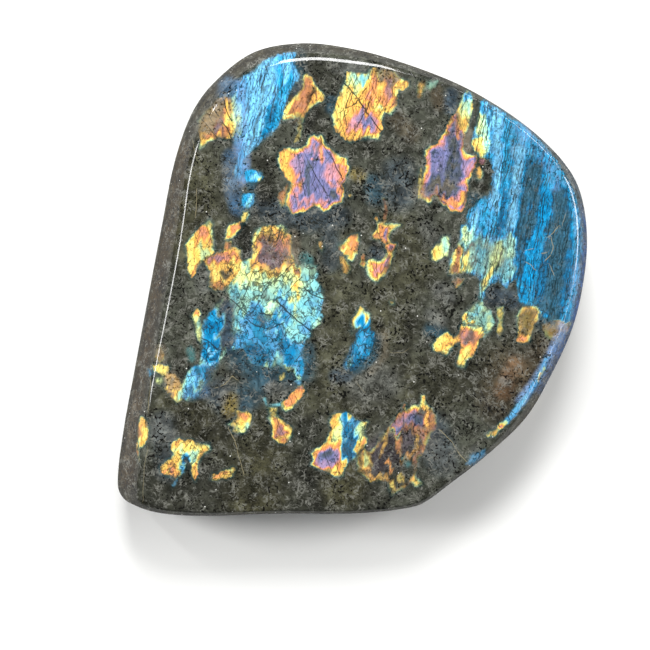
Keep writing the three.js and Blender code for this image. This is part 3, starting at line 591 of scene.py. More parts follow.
rose 0.4 0.6: 22 -10.8, 21.9 -12.4
orange 0.6 1: 22.6 -13.4, 24 -13.4
yellow 0.9 1: 22.6 -14.6, 22.6 -15.4
lime 0.5 0.9: 21.4 -16.8, 22 -17.4

bright gold at the lower right: gold, rim 0.6, glow 0.95 1.05, net 0.3
18.6 -10.6, 19.3 -11.3, 19.9 -11.8, 21 -11.4, 21.3 -12.4, 20.6 -13.2, 20 -13.6, 19.4 -14.6, 18.6 -15.5,
  17.5 -14.9, 16.1 -14.5, 15.7 -13.4, 16.5 -12.4, 17.6 -11.5
yellow 0.6 1.05: 17 -13.2, 17.8 -12.2
orange 0.35 1: 18.8 -12.2, 19.6 -12.6
lime 0.4 0.95: 18.2 -15, 18.8 -14.8

olive strand at the lower right: yellow, rim 0.7, glow 0.35 0.7
28.5 -5.9, 30 -5.6, 29.9 -8.6, 29.9 -10.4, 29.4 -11.9, 28.5 -10.4, 28.9 -9.1

gold tip at the lower right rim: gold, rim 0.4, glow 0.8 1.1
26.4 -31.1, 27.6 -30.6, 28.8 -29.9, 29 -30.7, 28.4 -31.6, 26.9 -31.7
yellow 0.4 1.1: 26.8 -31.2, 27.8 -31.3

pale streak on the lower right rim: periwinkle, rim 0.4, glow 0.5 0.75
28.2 -30.2, 29.4 -30.4, 31.6 -28.6, 34.2 -25.6, 36.4 -22.2, 38 -19, 39.4 -15.4, 38.2 -15.8, 36.9 -18.6,
  35 -21.8, 32.8 -25, 30.8 -27.6
rose 0.5 0.8: 28.8 -30, 30.4 -28.6
sky 0.7 0.85: 31.8 -27, 34.6 -23.6
orange 0.35 0.9: 36.8 -20.6, 37.4 -18.8
lime 0.3 0.8: 37.4 -19.4, 38.2 -17.8

bluish light at the lower right rim: periwinkle, rim 0.6, glow 0.2 0.42
23 -35.2, 26.4 -34, 27 -35.4, 24 -37.8, 22.4 -37.2

beige spot at the left rim: gold, rim 0.6, glow 0.2 0.12
-38.7 -13, -37.7 -15, -37.6 -16.1, -38.6 -17.2, -39.7 -15.7

yellow spot at the left rim: yellow, rim 0.5, glow 0.7 0.95
-40 -17.4, -38.6 -17.2, -36.7 -17.5, -36.9 -18.8, -37.7 -19.6, -38.3 -19.3, -39.2 -18.9, -39.9 -18.4

pale green spot at the left rim: lime, rim 0.4, glow 0.5 0.85
-39.5 -19.6, -38 -19.7, -37.6 -20.5, -38.5 -21.5, -39.4 -20.8

blue streak at the left rim: azure, rim 0.5, glow 0.2 0.6
-41.4 -18.1, -40.2 -18, -39.8 -19.4, -40.6 -20

brown patch with a gold foot at the left: gold, rim 1, glow 0.3 0.12
-37.2 -18.9, -35.6 -19, -34.6 -20.2, -34.1 -21.6, -34 -22.9, -34.2 -24.4, -35.4 -24.9, -36.3 -23.7,
  -36.2 -22.9, -37 -23, -37.9 -22, -37.4 -21.3, -37.8 -20.3
none 0.9 0.3: -36 -20.4, -35.4 -21.8
gold 0.4 1: -35.7 -23.2, -35.3 -24.3
yellow 0.35 1: -37.2 -22.3, -36.2 -22.7
mint 0.4 0.9: -34.7 -21.6, -34.5 -23.4

gold on the lower left rim: gold, rim 0.5, glow 0.85 1.05, net 0.3
-42.2 -27.5, -41.4 -28.3, -40.8 -30, -40.9 -31.8, -41.8 -33.8, -42.7 -34, -43 -31.8, -43 -29.6,
  -42.7 -28.3
orange 0.35 1: -42.3 -29.4, -42.4 -32.6
yellow 0.4 1.05: -41.6 -29.6, -41.6 -31.8

faint orange line on the lower left rim: orange, rim 0.3, glow 0.3 0.7
-43.1 -25.8, -42.8 -25.8, -42.9 -34, -42.5 -36.8, -43 -36.8, -43.4 -34

faint orange on the lower left wall: orange, rim 0.3, glow 0.15 0.45
-44.8 -28, -44.3 -28, -44.4 -32.4, -44.8 -32.4

faint orange at the corner: orange, rim 0.4, glow 0.2 0.6
-45.8 -40.6, -45.1 -40.6, -44.6 -43.4, -45.2 -43.6

arch at the lower left: gold, rim 0.6, glow 0.9 1, net 0.9
-34.5 -32, -35.6 -32.3, -36.4 -33.3, -36.3 -34.4, -35.9 -35.3, -36.6 -36, -37.6 -36.8, -38.5 -37.7,
  -38.5 -38.5, -37.8 -39.3, -36.5 -39.7, -35.4 -40, -34.4 -39.4, -33.7 -38.5, -33.4 -37.9, -33.6 -37,
  -33 -36.5, -32.4 -37, -32.3 -37.9, -32.1 -39.2, -31.6 -40.6, -31 -39, -31 -37.2, -30.5 -36,
  -29.8 -35.2, -29 -34.9, -28.4 -34, -28.7 -33.2, -29.9 -33, -31 -33, -32.1 -32.3, -33 -32.2,
  -33.6 -32.6
orange 0.6 1: -35.3 -32.9, -34.6 -33
orange 0.5 1: -29.2 -33.9
yellow 0.6 1: -33.8 -33.6, -31.8 -33.4, -30.4 -33.8
lime 0.6 0.95: -35.6 -34.6, -34 -34.4
mint 0.8 0.9: -31.9 -34.8, -31.8 -36.2
azure 0.9 0.9: -33.7 -35.4, -33.4 -36
azure 0.5 0.85: -34 -37.4, -34.1 -38.6
navy 0.55 0.2: -33.4 -36.2, -33.1 -36.6
orange 0.9 0.9: -36.6 -37.6, -36.2 -38.4
yellow 0.35 1: -37.6 -38.4, -36.4 -39.1
lime 0.35 0.95: -34.8 -37, -34.6 -39
gold 0.4 0.8: -31.6 -38, -31.6 -39.6
none 0.4 0: -36.5 -38.6

blue streak under the arch: sky, rim 0.3, glow 0.3 0.6
-35 -39.8, -34.6 -40, -35.4 -41.2, -36.1 -41.9, -36.1 -41.2

gold streak beside the arch: gold, rim 0.4, glow 0.6 0.85, net 1
-28.5 -40.1, -28 -38.9, -27.1 -39.2, -26 -38.3, -24.9 -38.3, -24.1 -37.6, -23.5 -38, -24.2 -39.7,
  -25.4 -40.1, -26.5 -40, -27 -40.6, -27.8 -40.4
orange 0.55 1: -27 -39.8
lime 0.4 0.8: -24.6 -38.6

orange and green fleck: yellow, rim 0.5, glow 0.8 1, net 0.3
-23.2 -26.4, -22.1 -26.6, -20.6 -26.6, -20.2 -28.1, -20.6 -29.4, -21.4 -30.6, -22.5 -31.1, -23.4 -30.9,
  -24.4 -30.5, -23.8 -29.9, -25.1 -29.3, -23.9 -28.4, -23.2 -27.7
orange 0.9 0.85: -22.3 -27.4, -21.4 -27.2
gold 0.5 1: -23.4 -28.8, -22.4 -28.6
mint 0.5 0.95: -21 -28.4, -21.4 -29.8
lime 0.5 1: -23 -30.2, -22 -30.2

orange streak under the great patch: orange, rim 1, glow 1 1, net 0.3
-10.9 -21.6, -10 -21.3, -9.6 -22.4, -10 -23.6, -10.9 -24.4, -11.4 -25.2, -12.4 -26.1, -13.4 -26.7,
  -14.3 -26.2, -13.9 -25.5, -14.2 -24.8, -13.1 -24.2, -12.5 -23.2, -11.6 -22.3

cyan tails of the orange streak: sky, rim 0.4, glow 0.4 0.8
-11.9 -20.3, -10.4 -20.5, -9.9 -21.2, -10.8 -21.7

teal tail by the neck: cyan, rim 0.4, glow 0.3 0.65
-18.2 -23.8, -17.4 -23.6, -17 -25.2, -15 -24.9, -14 -24.3, -14.3 -25.6, -16.2 -26, -17.4 -25.8

neck of the brown bulb: yellow, rim 0.8, glow 0.6 0.6
-17.3 -25.6, -16.3 -25.3, -15.1 -25.7, -15.1 -27.6, -16.5 -27.6

brown bulb: orange, rim 1, glow 0.9 0.68, net 0.3
-17.1 -27.8, -16.5 -28.7, -16.1 -29.6, -16.1 -31.8, -15.2 -32.7, -13.9 -33.1, -12.7 -32.5, -12.2 -31.1,
  -12.3 -29.8, -13.2 -29, -14.2 -28.3, -15.1 -27.4, -16.4 -27.2
rose 1.1 0.5: -14.6 -30.4, -14.2 -31
yellow 0.35 0.95: -16.6 -28.2, -15.8 -29.2
yellow 0.35 0.9: -13.2 -29.4, -12.6 -30.2, -12.7 -31.6

gold, blue and violet patch at the bottom: gold, rim 0.5, glow 0.9 1, net 0.4
-4.3 -27.3, -3.2 -26.9, -2.4 -27, -1.5 -26.7, -0.6 -27.2, 0.4 -28, 1.4 -28.7, 3 -28.7, 2.5 -29.8,
  2.2 -31.4, 2.9 -32, 2.6 -33.3, 1.7 -34.2, 1 -35.1, 0 -36.3, -1 -36.8, -1.6 -37.9, -2.1 -39.5,
  -2.8 -39.9, -3.9 -39.6, -4.8 -38.7, -6.1 -38.4, -7.2 -37.9, -8.5 -37.3, -8 -36.1, -8.5 -35,
  -7.5 -34.2, -6.3 -33.5, -5.5 -32.8, -5 -31.6, -4.4 -30.3, -4.8 -28.7
gold 1 1: -3.6 -28.4, -3.6 -29.4
lime 1 1: -3.2 -30.8, -3.6 -32.6
yellow 0.5 1: -2.6 -28.6, -2.4 -33.6
deep 1.7 0.6: -0.8 -29.4, -0.7 -33.6
cyan 0.8 0.45: -1 -31, -1 -32.6
deep 1.5 0.55: -0.8 -32.6, -0.8 -35
blue 1.2 0.9: -1.4 -27.8, -0.8 -29
periwinkle 0.9 0.8: 0 -28.2, 0.6 -29
none 0.7 0.2: 0.2 -27.2, 1.4 -28.2
mint 0.4 0.9: 0.8 -29.6, 0.7 -31.4
lime 0.9 0.85: 1.9 -29, 1.8 -31.2
none 0.9 0.3: 1.6 -34, 0.4 -36
orange 0.45 1: 2.4 -32.8, 2.1 -33.6
gold 0.35 0.8: 0.9 -32.6, 0.6 -34.6
rose 2.3 0.9: -6 -36, -4.6 -36.2
violet 1.9 0.75: -6 -35.9, -4.7 -36.2
steel 0.9 0.5: -5.6 -35, -4.6 -35.2
mauve 0.7 0.95: -6 -36.9, -4.6 -37.3
orange 0.45 1: -7.9 -35.4, -6.4 -34, -4.8 -33.8, -3 -34.6, -2.2 -36
yellow 0.5 1: -3.8 -38.8, -2.8 -38.9

dark violet web at the bottom: gold, rim 0.7, glow 0.28 0, net 0.5, fibre 0.25, straight 0.4
1.3 -34.8, 2.2 -34.2, 3.5 -34.6, 4.8 -32.9, 5.2 -31.6, 6.3 -30.4, 7.3 -29.4, 7.9 -28.3, 9 -27.2,
  10.4 -26.4, 11.6 -25.7, 12.2 -25.2, 13.3 -25.5, 13.5 -23.2, 14.3 -23.2, 14.5 -25, 15.6 -25.9,
  16.6 -27, 16.9 -28.3, 16.7 -30, 15.7 -31, 15.2 -32.2, 14.6 -33.5, 13.9 -35.3, 13.1 -36.1, 12.7 -38.3,
  12.5 -39.6, 14.1 -41, 12.6 -41.8, 11.5 -40.9, 10.9 -41.5, 9.6 -42.2, 7.7 -43.5, 7.2 -42.2, 6.9 -40.7,
  5 -40.5, 3.3 -40.7, 2 -39.4, 0.7 -38.5, 0.7 -37.4, 0.6 -36.1
steel 1.2 0.2: 11.6 -27.8, 13 -28.6
deep 1.1 0.55: 8 -29, 8.6 -30.4
mauve 1.5 0.65: 9.6 -28.4, 10.8 -27.3
rose 0.8 0.8: 9.8 -28.6, 10.8 -27.6
violet 1.2 0.5: 9 -29.4, 10.4 -29.4, 11.6 -27.6
violet 0.8 0.6: 8.1 -29.6, 8.6 -30.4
gold 0.45 1: 13.9 -23.8, 13.8 -25.4, 14.6 -26
yellow 0.5 1: 14.6 -25.9, 15.6 -26.6
orange 1.4 0.48: 15.4 -27.6, 15.6 -29.6
gold 0.5 0.95: 14.9 -27, 14.6 -29
orange 0.6 0.95: 11.6 -25.8, 12.6 -26.2
orange 0.9 0.32: 11 -29.6, 13.4 -30.6, 14.6 -32.6
orange 0.4 0.95: 5.7 -31, 6.1 -31.7
gold 0.35 0.4: 6.8 -30.6, 6.4 -33, 5.6 -35.4
orange 0.35 0.4: 8.6 -31.6, 9.6 -33.6, 9.2 -35.4
gold 0.35 0.4: 13 -31.4, 12.6 -34, 11.4 -35.6, 9.6 -36.2
orange 0.7 0.3: 15 -31, 13.8 -33.8, 12.8 -36.6
none 0.6 0.12: 16.8 -30.4, 15.4 -33, 14.2 -36, 13.2 -39
none 0.5 0.2: 4.4 -33.4, 6.4 -30.6, 8 -28.6
none 0.9 0.3: 0.8 -38.4, 3.4 -40.6, 6.8 -40.6, 7.8 -43.2
lime 0.9 0.6: 2.6 -35.8, 2.6 -37.2
gold 0.4 0.6: 1.6 -35.4, 2 -37.6, 3 -38.6
gold 0.5 0.5: 3.6 -39.2, 5.4 -39.6, 7 -40.4, 7.6 -42
none 0.6 0.1: 10 -36.4, 11 -36.6
orange 0.4 0.7: 7 -36.8, 7.6 -38
gold 0.5 1: 11.9 -40.2, 13.3 -40.9
rose 0.4 0.9: 12.4 -39.6
yellow 0.35 0.55: 7.6 -41, 8 -42.8
yellow 0.35 0.5: 9.4 -38.6, 9.6 -41

orange ring dot: orange, rim 0.3, glow 0.9 0.9
9.8 -25.3, 10.3 -25, 10.8 -25.4, 10.6 -26, 10 -26

orange dot by the blue tail: orange, rim 0.3, glow 0.7 0.8
-0.6 -10.5, -0.2 -10.4, 0 -10.9, -0.4 -11.1

orange dot in the rock: orange, rim 0.3, glow 0.9 0.9
7.5 -4.6, 8 -4.6, 8.1 -5.1, 7.6 -5.2
"""

# The drawn cracks and veins: which of them it is, its strength and its line
LINES = """
crack 0.85: -28.2 34.6, -26.6 31.8, -25.2 29.8, -24.2 27.8
crack 0.8: -26 36.4, -25.4 33.8, -24.4 31.4
crack 0.7: -30.2 31.6, -28.4 29.6, -27.2 28
crack 0.6: -29.2 33, -28 31.2
crack 0.8: -1.7 38.9, 0.6 36.2, 3 32.8, 5.4 29.5
crack 0.7: -0.6 36.8, -1.8 33.4, -1.4 30.4
crack 0.7: 3.6 36, 2.6 33.2, 0.6 30
crack 0.6: -2.8 33, 0.4 34.8, 2.6 38
crack 0.75: -4.6 24.8, -3 21.4, -1.6 18.8
crack 0.65: -8.4 22.4, -7 19.6, -5.4 17
crack 0.6: -11 24.4, -10.4 20.4, -9.6 16.4
crack 0.55: -6.2 27, -4.8 24.6
crack 0.8: -16.2 9.9, -16.5 8.6, -16.9 7.4
crack 0.8: -14.4 10.2, -14.8 8.6, -15.2 7.4
crack 0.7: -13.4 9.6, -14.2 7.4
crack 0.8: -9.7 -2, -8.4 -3.2, -6 -4.1
crack 0.85: -15.4 -4.6, -13 -6.8, -10.8 -8.8, -8.4 -10.6
crack 0.7: -25.2 -3.6, -23 -5.6, -20.6 -7.6
crack 0.65: -20 1.2, -21.8 -3.6, -23 -7
crack 0.65: -16.4 -0.4, -18.4 -4, -20 -7
crack 0.6: -12.4 2.4, -15.6 -0.6, -19.6 -1.4
crack 0.6: -10.2 0.4, -13.4 -3.2, -16 -4.4
crack 0.8: -18.4 -7.1, -17 -7.4, -15.6 -7.2
crack 0.7: -21.6 -8, -19.4 -9.6, -16.6 -10.2, -13.8 -8.8
crack 0.7: -30 -12.2, -28.6 -12.8, -27 -14.4, -24.6 -14
crack 0.6: -14.6 -9.4, -15.2 -12.6, -13.8 -14.8
crack 0.8: 25.5 -22.4, 26.8 -24.8, 27.5 -26.6, 28.6 -28.1, 29.2 -29.6
crack 0.8: 24 -22.4, 25.5 -24.6, 26.8 -26.1
crack 0.7: 25.1 -27.9, 27.1 -29.8
crack 0.7: 29.5 -25.3, 31.2 -28.1
crack 0.7: 30.8 -25.9, 32.5 -27.2, 34.4 -26.6
crack 0.8: 3 6.8, 4.4 7.2, 5.6 6.2
crack 0.6: 4.6 3.4, 4.8 0.2
crack 0.55: 20.9 31.6, 20.4 27.4, 19.8 21
crack 0.6: 12.6 -27, 12 -30.4, 12.6 -33.6
crack 0.6: 10.2 -26.6, 10 -29.6, 11.2 -32.4
crack 0.5: 29.8 22, 29 15, 28.6 9
crack 0.45: 40.9 14, 39.6 6
vein 0.55: -31.3 17.6, -31.2 15, -31.5 12.2
vein 0.5: -32 27.6, -31.4 24.4
vein 0.6: -27.3 -21.9, -25.6 -21.3, -24.1 -19.6, -23.3 -20.3
vein 0.6: -24.9 -30, -23.6 -32.4, -22.9 -35, -22.3 -37.4, -21.8 -39
vein 0.6: 17.4 -30.4, 18.6 -31.6, 19.9 -32.9, 20.5 -34.2, 21.4 -35.4, 22.7 -36.6
vein 0.7: 40.9 10.2, 39.9 8.9, 38.9 8.3
vein 0.7: 39.5 7.9, 40 6.4, 39.9 5.3, 39 4, 38.4 3.5
vein 0.65: 37.3 4.8, 38.6 5.1
vein 0.65: 34.5 5.5, 35.7 5.8
vein 0.65: 34.6 3, 35.4 2.6, 36.2 1.8
vein 0.6: 39.2 2.5, 40.1 0.7
vein 0.5: 42.4 12.6, 41.8 10.6
vein 0.55: -40.3 -19.8, -40.7 -23.7, -40.9 -26.6
vein 0.45: -41 -34, -41.7 -38, -41.9 -41.1, -41.9 -44.6
vein 0.4: 7.6 -14.8, 9.8 -15, 11 -14.2
vein 0.4: 0.8 -21, 2.2 -22.6
"""

# The drawn tints of the rock: the colour, half the width, the strength and the line
# Some of them paint light and shade: the two mist lines along the right rim are painted sheen over a
# pale blue, the two slate lines that follow the right edge are painted shade over a grey-blue, and the
# umber line down the left rim is painted shade over a brown tone.
TINTS = """
dark 9 0.75: -36 -43, -20 -43, 0 -43
olive 8 0.6: -33 20, -33 8
olive 7 0.7: -28 -29, -18 -33, -20 -43
olive 5 0.6: -36 -26, -31 -28
olive 7 0.55: 6 -22, 16 -21, 24 -18
olive 5 0.7: 0 -22, -2 -42
olive 6 0.5: 8 9, 12 2, 6 -4, 8 -10
olive 5 0.45: -3 8, -4 -12, -8 -24
pale 4.5 0.75: 2 -22, 6 -21
dark 7 0.7: 17 -20, 25 -20, 30 -22
dark 6 0.6: -36 -30, -24 -28
dark 5 0.5: -26 -31, -8 -30, -10 -36
dark 3 0.5: -2 -24, 4 -27
brown 5 0.4: 31 -17, 29 -25
rust 2.2 0.5: 32.4 -17.4, 30 -22.6
brown 3 0.6: 38 -13.6, 34 -20
brown 1.6 0.55: 16.4 37.4, 17.2 34.6
brown 2.2 0.45: 8.6 31.6, 11.6 28.6
slate 4 0.5: 9 21, 9 16.5
slate 3.5 0.55: -27 -23, -24 -25.6
slate 4 0.5: 15.6 -30, 17.5 -36
dusk 4.6 0.8: 5 -35.6, 9.6 -33.4, 12.8 -30.6
slate 1.6 0.6: 11.6 -28.4, 13.2 -29
sea 0.9 0.5: 10.2 -36, 10.8 -37
slate 2.4 0.5: -4.6 8, -4.6 3
slate 3 0.6: -19 14.4, -9 11.6, -3 12
slate 3 0.4: -38 -29, -37 -38
slate 2.4 0.7: 27 -3.4, 32 -4.4
plum 1.6 0.8: 23.6 -11.2, 22.9 -12.6
slate 2.6 0.8: 39.6 -6.4, 42 -7
ochre 1.2 0.6: 34.6 -7.6, 35 -10
ochre 2 0.7: 39.6 -9.8, 41.6 -9.4
pale 1.6 0.75: -3.4 42, 1 42.2, -1 41.4
taupe 2.6 0.75: -26 34, -27.8 31.6, -29 29.6
rust 2.4 0.7: -9.2 38.6, -11.6 33.4
dark 0.9 0.8: -8.5 36.9, -8.2 35.7
mist 1.8 0.9: -22.4 38, -22 31, -22.4 20
haze 2.2 0.6: -25 38.4, -25.2 36.6
haze 1.9 0.8: -24.4 24, -24 17.6, -23 14
petrol 1.3 0.9: -20.2 18.3
petrol 1.5 0.7: -10.6 44.6, -10.4 41, -11.6 37.4
petrol 1.2 0.8: -4.4 35.6, -4.6 33.8
ochre 1.5 0.6: 0.6 20.8, 1.6 20
petrol 2.4 0.7: 4 18.8, 4.4 16.4
haze 1.6 0.25: 19.6 36.6, 19.4 34
petrol 1.6 0.8: 24.2 15.8
plum 3.4 0.95: -17.2 4.8, -16 4
taupe 1.6 0.6: -12.2 8.4, -11.8 4.6, -10 3
sea 1.3 0.7: -9.8 4, -9 3.4
slate 2.4 0.95: -25.2 -6.4, -25.4 -9.4, -25 -13.4
petrol 4 0.7: -21.6 -9.6, -14 -10.6
petrol 4 0.8: -21.6 -16, -17 -18.4, -11 -18.4
petrol 3.4 0.6: -18.6 -21, -21.4 -24
petrol 1.6 0.6: -8.8 -14, -8.8 -17
sea 1 0.5: -32.4 -14.4, -32.2 -16
haze 1.6 0.6: -30 -22.6, -32.4 -23
petrol 1.9 0.75: 15.6 -10.4, 17 -10.8
petrol 1.7 0.8: 4.4 -12.6, 3.6 -16, 0.4 -18
slate 1.8 0.7: -3.4 -19.6, -1.4 -19.6
taupe 1 0.35: 6.2 -11, 6.4 -15.4, 3.6 -18.6
ochre 1.9 0.85: -24.4 -24.4, -24.6 -26.4
taupe 2 0.8: 8.2 39.6, 6.6 40.6
taupe 2.2 0.6: 14 17.4, 16.4 17.2, 19 18.4
taupe 1.3 0.7: 22.6 29, 22.6 26
petrol 2.6 1: 36.8 22, 35.4 15, 34.4 9, 33.6 2
petrol 3.6 1: 41.6 16, 41 8, 39.8 0, 39.8 -8
taupe 3 0.7: 24 5, 30 4
petrol 2 0.8: 25.4 6.4, 26.4 3.6
mist 1.6 0.8: 33.4 29.6, 35.6 27.2, 37.6 24.8, 39.8 21.6, 40.4 18.5
mist 1.2 0.7: 44.8 2, 43.8 -4, 41.8 -10.4, 39.2 -16, 36.6 -20.4, 33.4 -24.6
slate 1.6 0.5: 26.8 37.4, 35.4 31.6, 41.6 24.8, 46 16.6, 47.2 8, 46.8 -1, 44.6 -10, 40.8 -18, 38 -22.6
slate 1.6 0.7: 30.6 35, 35.4 31.6, 41.6 24.8, 46 16.6, 47.2 8, 46.8 -1, 44.6 -10, 42.4 -15
cobalt 1.3 0.3: 46 14, 46.6 9, 46.7 3, 45.8 -4, 43.4 -11, 39.6 -18, 37.2 -22
cobalt 1.3 0.35: 46.3 11, 46.7 3, 45.8 -4, 43.4 -11, 41.2 -15
cobalt 1.3 0.35: 46.6 7, 46.7 3, 45.8 -4, 44.4 -8.6
pale 2.8 0.5: -38.6 -30, -36.4 -33
taupe 1.3 0.9: -38.6 -14.2, -38.6 -16.4
taupe 1.7 0.95: -36.2 -20, -35.4 -22.6
umber 2.6 0.75: -34.6 26, -37.4 10, -40.6 -4, -43.4 -20, -45.6 -40
taupe 0.5 0.3: -43.6 -24, -45.4 -38
pale 2 0.5: -29.8 1.8, -29.8 -1.6
pale 2.6 0.5: 16 -34, 19 -38
light 1 0.7: -17 -22, -16 -21.4
light 1 0.5: -26 -24.6, -25.6 -23
pale 1.9 0.85: 17.4 -2.4, 19 -4
pale 1.7 0.7: 15.6 -7.4, 17.6 -8.6
pale 2.4 0.5: -15 -22, -12.6 -23.4
light 0.9 0.5: 29.8 -20.4, 30.6 -21
pale 1.3 0.6: 24.4 -34.4
pale 2 0.5: 14.6 10, 16 7.6
slate 1.7 0.6: 4.6 5.4, 5.4 4.6
pale 2.4 0.45: -24 18, -24.6 22
dark 2.6 0.7: -9 33, -7 30
dark 2.2 0.7: -18 23, -17.6 16
dark 2.4 0.6: -20 12, -22 8
dark 3 0.6: -9 44, -6 40
dark 3 0.5: 2 26, 9 25.6
dark 2.4 0.6: 12 -9, 8.6 -17.6
dark 2.2 0.5: 5 -22, 7 -26
dark 3.4 0.5: -26 -42, -14 -41
black 1.1 0.8: -21.6 10.2, -21.2 6.6, -21.4 3.8
black 0.8 0.8: 4.2 6.9, 5 6.4
black 1 0.8: -7 33.6, -8.6 30.8
black 1.3 0.8: 25.6 23.4, 27 22, 26.8 20.2
black 1.2 0.6: 24.4 18.6, 26.4 18
black 0.7 0.8: 17.8 -6.6, 18.6 -7.4
black 0.8 0.8: 19.4 -4.8, 20.2 -5.4
black 0.6 0.8: 21.6 -10, 21.9 -9.4
black 0.5 0.8: 23 5.9, 23.8 5.8
black 0.35 0.9: -36.5 -38.6
black 0.5 0.8: -39.9 -19.9
"""


# The drawings


def entries(text):
    """The lines of a text, each with those that go on from it."""
    return text.strip().replace("\n  ", " ").splitlines()


def points(text):
    return np.array([[float(n) for n in pair.split()] for pair in text.split(",")])


def drawn(lines):
    """What each line of a drawing says: its name, its numbers and its points."""
    for line in lines:
        words, places = line.split(":")
        name, *numbers = words.split()
        yield name, *map(float, numbers), points(places)


def drawn_zone(text):
    """One zone of flash: its outline, the phase in its middle, its strokes, and its numbers."""
    heading, outline, *strokes = entries(text)
    core, *numbers = heading.split(": ")[1].split(", ")
    zone = {"outline": points(outline), "core": FLASHES[core][0], "strokes": drawn(strokes), **ZONE_CRACKS}
    for entry in numbers:
        name, *values = entry.split()
        zone[name] = [float(value) for value in values]
    return zone


# The polished mesh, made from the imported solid


def solid_columns(solid):
    """The solid's points in upright columns round its axis: the columns' angles, and for each its
    points' distances from the axis and heights, from the middle of the back to that of the face."""
    places = np.array([vertex.co for vertex in solid.data.vertices])
    places = np.unique(places.round(7), axis=0)
    reach = np.hypot(places[:, 0], places[:, 1])
    places, reach = places[reach > MM], reach[reach > MM]
    angle = np.arctan2(places[:, 1], places[:, 0])
    order = np.argsort(angle)
    places, reach, angle = places[order], reach[order], angle[order]
    starts = np.flatnonzero(np.diff(angle, prepend=-np.inf) > SAME_ANGLE)
    waist = places[:, 2].max() / 2
    columns = []
    for rows in np.split(np.arange(len(angle)), starts[1:]):
        climb = np.arctan2(places[rows, 2] - waist, reach[rows])
        rows = rows[np.argsort(climb)]
        columns.append(np.stack([reach[rows], places[rows, 2]], axis=1))
    return angle[starts], np.array(columns)


def smooth_through(knots, values, at):
    """Values at places between the knots, on a smooth curve through the knots' values. Both run
    along the first axis, and the knots go past both ends of the places."""
    gaps = np.diff(knots).reshape(-1, *[1] * (values.ndim - 1))
    slopes = np.diff(values, axis=0) / gaps
    tangents = np.zeros_like(values)
    tangents[1:-1] = (slopes[:-1] * gaps[1:] + slopes[1:] * gaps[:-1]) / (gaps[:-1] + gaps[1:])
    left = np.clip(np.searchsorted(knots, at, side="right") - 1, 1, len(knots) - 3)
    step = gaps[left]
    t = (at - knots[left]).reshape(step.shape) / step
    return (
        (2 * t**3 - 3 * t**2 + 1) * values[left]
        + (t**3 - 2 * t**2 + t) * step * tangents[left]
        + (3 * t**2 - 2 * t**3) * values[left + 1]
        + (t**3 - t**2) * step * tangents[left + 1]
    )


def columns_at(angles, columns, wanted):
    """The columns at any angles, on smooth curves through the solid's own."""
    turn = 2 * math.pi
    knots = np.concatenate([angles - turn, angles, angles + turn])
    return smooth_through(knots, np.concatenate([columns] * 3), wanted)


def rings_at(columns, wanted):
    """The columns' points at any places along them, counted in the solid's rings. The curve goes
    by the mean distance from ring to ring, so that it doesn't overshoot beside a long step."""
    rings = columns.transpose(1, 0, 2)
    first, last = 2 * rings[0] - rings[1], 2 * rings[-1] - rings[-2]
    rings = np.concatenate([[first], rings, [last]])
    step = np.hypot(*np.diff(rings, axis=0).mean(axis=1).T)
    knots = np.concatenate([[0], np.cumsum(step)])
    return smooth_through(knots, rings, np.interp(wanted, np.arange(-1.0, len(rings) - 1), knots))


def square_rim(across, up):
    """How far round the rim of its own square a point of the grid is, from 0 to 1, anticlockwise
    from the lower left corner."""
    size = np.maximum(np.maximum(abs(across), abs(up)), 1e-9)
    a, b = across / size, up / size
    sides = [(a + 1) / 2, 1 + (b + 1) / 2, 2 + (1 - a) / 2]
    return np.select([b <= -1, a >= 1, b >= 1], sides, 3 + (1 - b) / 2) / 4


def rim_angle(share):
    """The angle of the column at a share of the way round the square's rim."""
    angle = 2 * math.pi * share - 0.75 * math.pi
    return np.where(angle > math.pi, angle - 2 * math.pi, angle)


def ring_places(rings):
    """Where the mesh's rings stand on the solid's, from the edge of the back to the face's."""
    edge = rings - 1 - SOLID_FACE_RINGS
    wall_start = SOLID_BACK_RINGS + (edge - SOLID_BACK_RINGS - SOLID_RIM_STEPS) // 2
    rim_start = edge - SOLID_RIM_STEPS
    return np.concatenate([
        np.arange(SOLID_BACK_RINGS, wall_start, 1 / BACK_RIM_SPLITS),
        np.arange(wall_start, rim_start),
        np.arange(rim_start, edge + 1e-6, 1 / FRONT_RIM_SPLITS),
    ])


def round_points(angle, reach, height):
    """Points from their angles, distances from the axis and heights."""
    angle = np.broadcast_to(angle, reach.shape)
    return np.stack([reach * np.cos(angle), reach * np.sin(angle), height], axis=-1)


def face_points(angles, columns, top):
    """The points of the face's grid, crowned from the face's edge to the height of its middle."""
    steps = np.linspace(-1, 1, FACE_GRID + 1)
    across, up = np.meshgrid(steps, steps, indexing="ij")
    share = np.maximum(abs(across), abs(up)).ravel()
    angle = rim_angle(square_rim(across, up).ravel() % 1)
    edge_ring = np.array([columns.shape[1] - 1.0 - SOLID_FACE_RINGS])
    reach, height = rings_at(columns_at(angles, columns, angle), edge_ring)[0].T
    return round_points(angle, share * reach, top - (top - height) * share**2)


def stone_points(solid):
    """The mesh's points: those of the face's grid, then the rings from the face's edge down to the
    back's edge and in to the middle of the back, then the middle of the back."""
    angles, columns = solid_columns(solid)
    count = 4 * FACE_GRID
    angle = rim_angle(np.arange(count) / count)
    sides = rings_at(columns_at(angles, columns, angle), ring_places(columns.shape[1]))[::-1]
    rings = round_points(angle, sides[1:, :, 0], sides[1:, :, 1])
    inwards = 1 - np.arange(1, BACK_RINGS_MADE) / BACK_RINGS_MADE
    back = rings[-1][None] * inwards[:, None, None]
    top = max(vertex.co.z for vertex in solid.data.vertices)
    return face_points(angles, columns, top), np.concatenate([rings, back]), np.zeros((1, 3))


